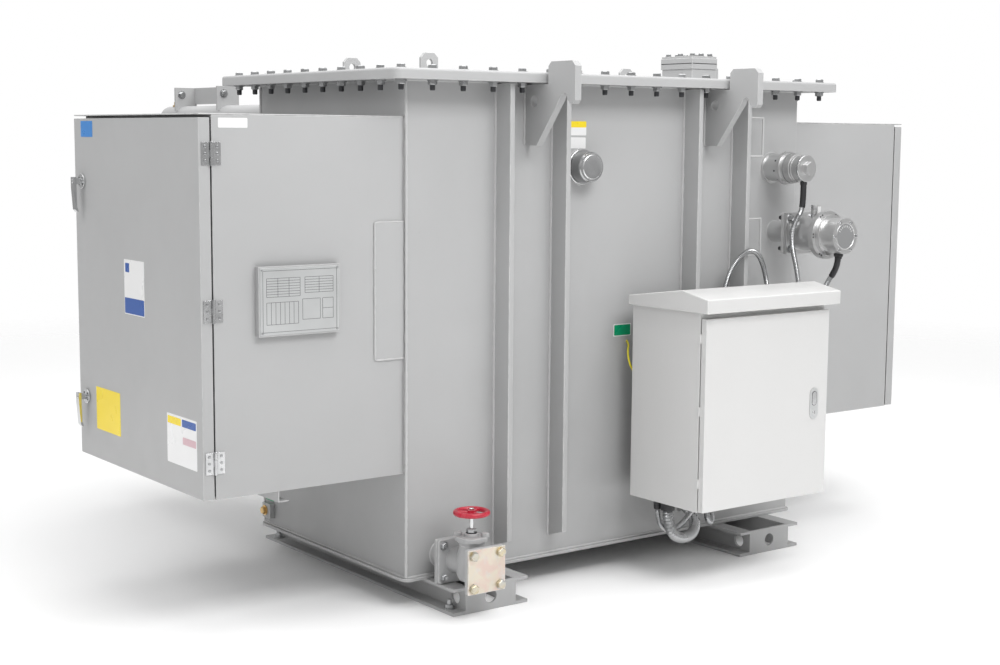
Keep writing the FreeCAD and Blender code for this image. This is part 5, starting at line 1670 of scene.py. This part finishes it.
@dataclass(frozen=True)
class SoftBox:
    """One rectangular lamp."""

    name: str
    place: Point
    target: Point
    size: tuple[float, float]
    watts: float

    def hang(self) -> None:
        """Hangs the lamp and turns it to its target."""
        lamp = bpy.data.lights.new(self.name, "AREA")
        lamp.shape = "RECTANGLE"
        lamp.size, lamp.size_y = self.size
        lamp.energy = self.watts
        obj = bpy.data.objects.new(self.name, lamp)
        obj.location = self.place
        aim = Vector(self.target) - Vector(self.place)
        obj.rotation_euler = aim.to_track_quat("-Z", "Y").to_euler()
        bpy.context.scene.collection.objects.link(obj)


@dataclass
class Studio:
    """Pale floor, soft lights and the camera."""

    eye: Point = (-3.524, -4.537, 1.471)
    yaw: float = 36.69
    down: float = 6.97
    roll: float = 0.42
    lens: float = 57.92
    sensor: float = 36.0
    floor_radius: float = 12.0
    floor_sides: int = 64
    horizon: tuple[float, float] = (-0.15, 0.75)
    surround: tuple[float, float] = (0.42, 0.92)
    lamps: tuple[SoftBox, ...] = (
        SoftBox("left_box", (-4.2, 0.2, 4.2), (-0.9, 0.0, 1.4), (2.4, 2.0), 42.0),
        SoftBox("top_box", (0.2, 0.3, 4.6), (0.0, 0.2, 0.0), (5.0, 4.0), 120.0),
        SoftBox("front_box", (-0.2, -3.6, 4.2), (-0.3, -0.4, 1.5), (3.0, 1.4), 108.0))

    def floor(self) -> None:
        """Lays a pale floor that fades out far from the object."""
        mesh = bpy.data.meshes.new("floor")
        turns = [math.tau * step / self.floor_sides for step in range(self.floor_sides)]
        rim = [(self.floor_radius * math.cos(turn), self.floor_radius * math.sin(turn), -0.0005) for turn in turns]
        mesh.from_pydata(rim, [], [tuple(range(self.floor_sides))])
        shade = Shade("floor_card")
        shade.shader.inputs["Roughness"].default_value = 0.9
        shade.shader.inputs["Specular IOR Level"].default_value = 0.1
        tone = shade.span(shade.noise(0.5), 0.2, 0.8, 0.0, 1.0)
        shade.link(shade.blend(tone, (0.93, 0.93, 0.93, 1.0), (0.95, 0.95, 0.95, 1.0)),
                   shade.shader.inputs["Base Color"])
        length = shade.add("ShaderNodeVectorMath", operation="LENGTH")
        shade.link(shade.place, length.inputs[0])
        shade.link(shade.span(length.outputs["Value"], 3.5, 8.0, 1.0, 0.0), shade.shader.inputs["Alpha"])
        mesh.materials.append(shade.material)
        obj = bpy.data.objects.new("floor", mesh)
        bpy.context.scene.collection.objects.link(obj)

    def world(self) -> None:
        """Pale surround, dimmer near the horizon, that the camera sees as pure white."""
        world = bpy.data.worlds.new("studio")
        world.use_nodes = True
        bpy.context.scene.world = world
        nodes = world.node_tree.nodes
        links = world.node_tree.links
        background = nodes["Background"]
        place = nodes.new("ShaderNodeTexCoord")
        parts = nodes.new("ShaderNodeSeparateXYZ")
        links.new(place.outputs["Generated"], parts.inputs[0])
        ramp = nodes.new("ShaderNodeMapRange")
        for index, value in enumerate((*self.horizon, *self.surround), 1):
            ramp.inputs[index].default_value = value
        links.new(parts.outputs[2], ramp.inputs[0])
        rays = nodes.new("ShaderNodeLightPath")
        pick = nodes.new("ShaderNodeMath")
        pick.operation = "MAXIMUM"
        links.new(rays.outputs["Is Camera Ray"], pick.inputs[0])
        links.new(ramp.outputs[0], pick.inputs[1])
        background.inputs["Color"].default_value = (1.0, 1.0, 1.0, 1.0)
        links.new(pick.outputs[0], background.inputs["Strength"])

    def camera(self) -> None:
        """Sets the camera."""
        yaw, down, roll = (math.radians(value) for value in (self.yaw, self.down, self.roll))
        ahead = Vector((math.sin(yaw), math.cos(yaw), 0.0))
        right = Vector((math.cos(yaw), -math.sin(yaw), 0.0))
        forward = ahead * math.cos(down) - Z_AXIS * math.sin(down)
        up = Z_AXIS * math.cos(down) + ahead * math.sin(down)
        across = right * math.cos(roll) + up * math.sin(roll)
        above = up * math.cos(roll) - right * math.sin(roll)
        lens = bpy.data.cameras.new("camera")
        lens.sensor_fit = "HORIZONTAL"
        lens.sensor_width = self.sensor
        lens.lens = self.lens
        lens.clip_end = 200.0
        obj = bpy.data.objects.new("camera", lens)
        turn = Matrix((across, above, -forward)).transposed().to_4x4()
        obj.matrix_world = Matrix.Translation(self.eye) @ turn
        bpy.context.scene.collection.objects.link(obj)
        bpy.context.scene.camera = obj

    def build(self) -> None:
        """Makes the whole studio."""
        self.floor()
        self.world()
        self.camera()
        for lamp in self.lamps:
            lamp.hang()
        bpy.context.scene.view_settings.view_transform = "Standard"


def main() -> None:
    """Builds the transformer and its studio."""
    logging.basicConfig(level=logging.INFO, format="%(message)s")
    high = TerminalCabinet(Side.HIGH_VOLTAGE, "hv", -1.473, -1.513, -0.830, -0.436, 0.398)
    low = TerminalCabinet(Side.LOW_VOLTAGE, "lv", 1.424, 1.466, 0.870, 0.466, -0.368)
    for part in (SkidBase(), Tank(), Cover(), high, low, Nameplate(), ControlBox(), Gauges(), Conduits(),
                 DrainValve(), Radiators()):
        part.build()
        part.dress()
        log.info("%s done", type(part).__name__)
    high.labels()
    Studio().build()


if __name__ == "__main__":
    main()
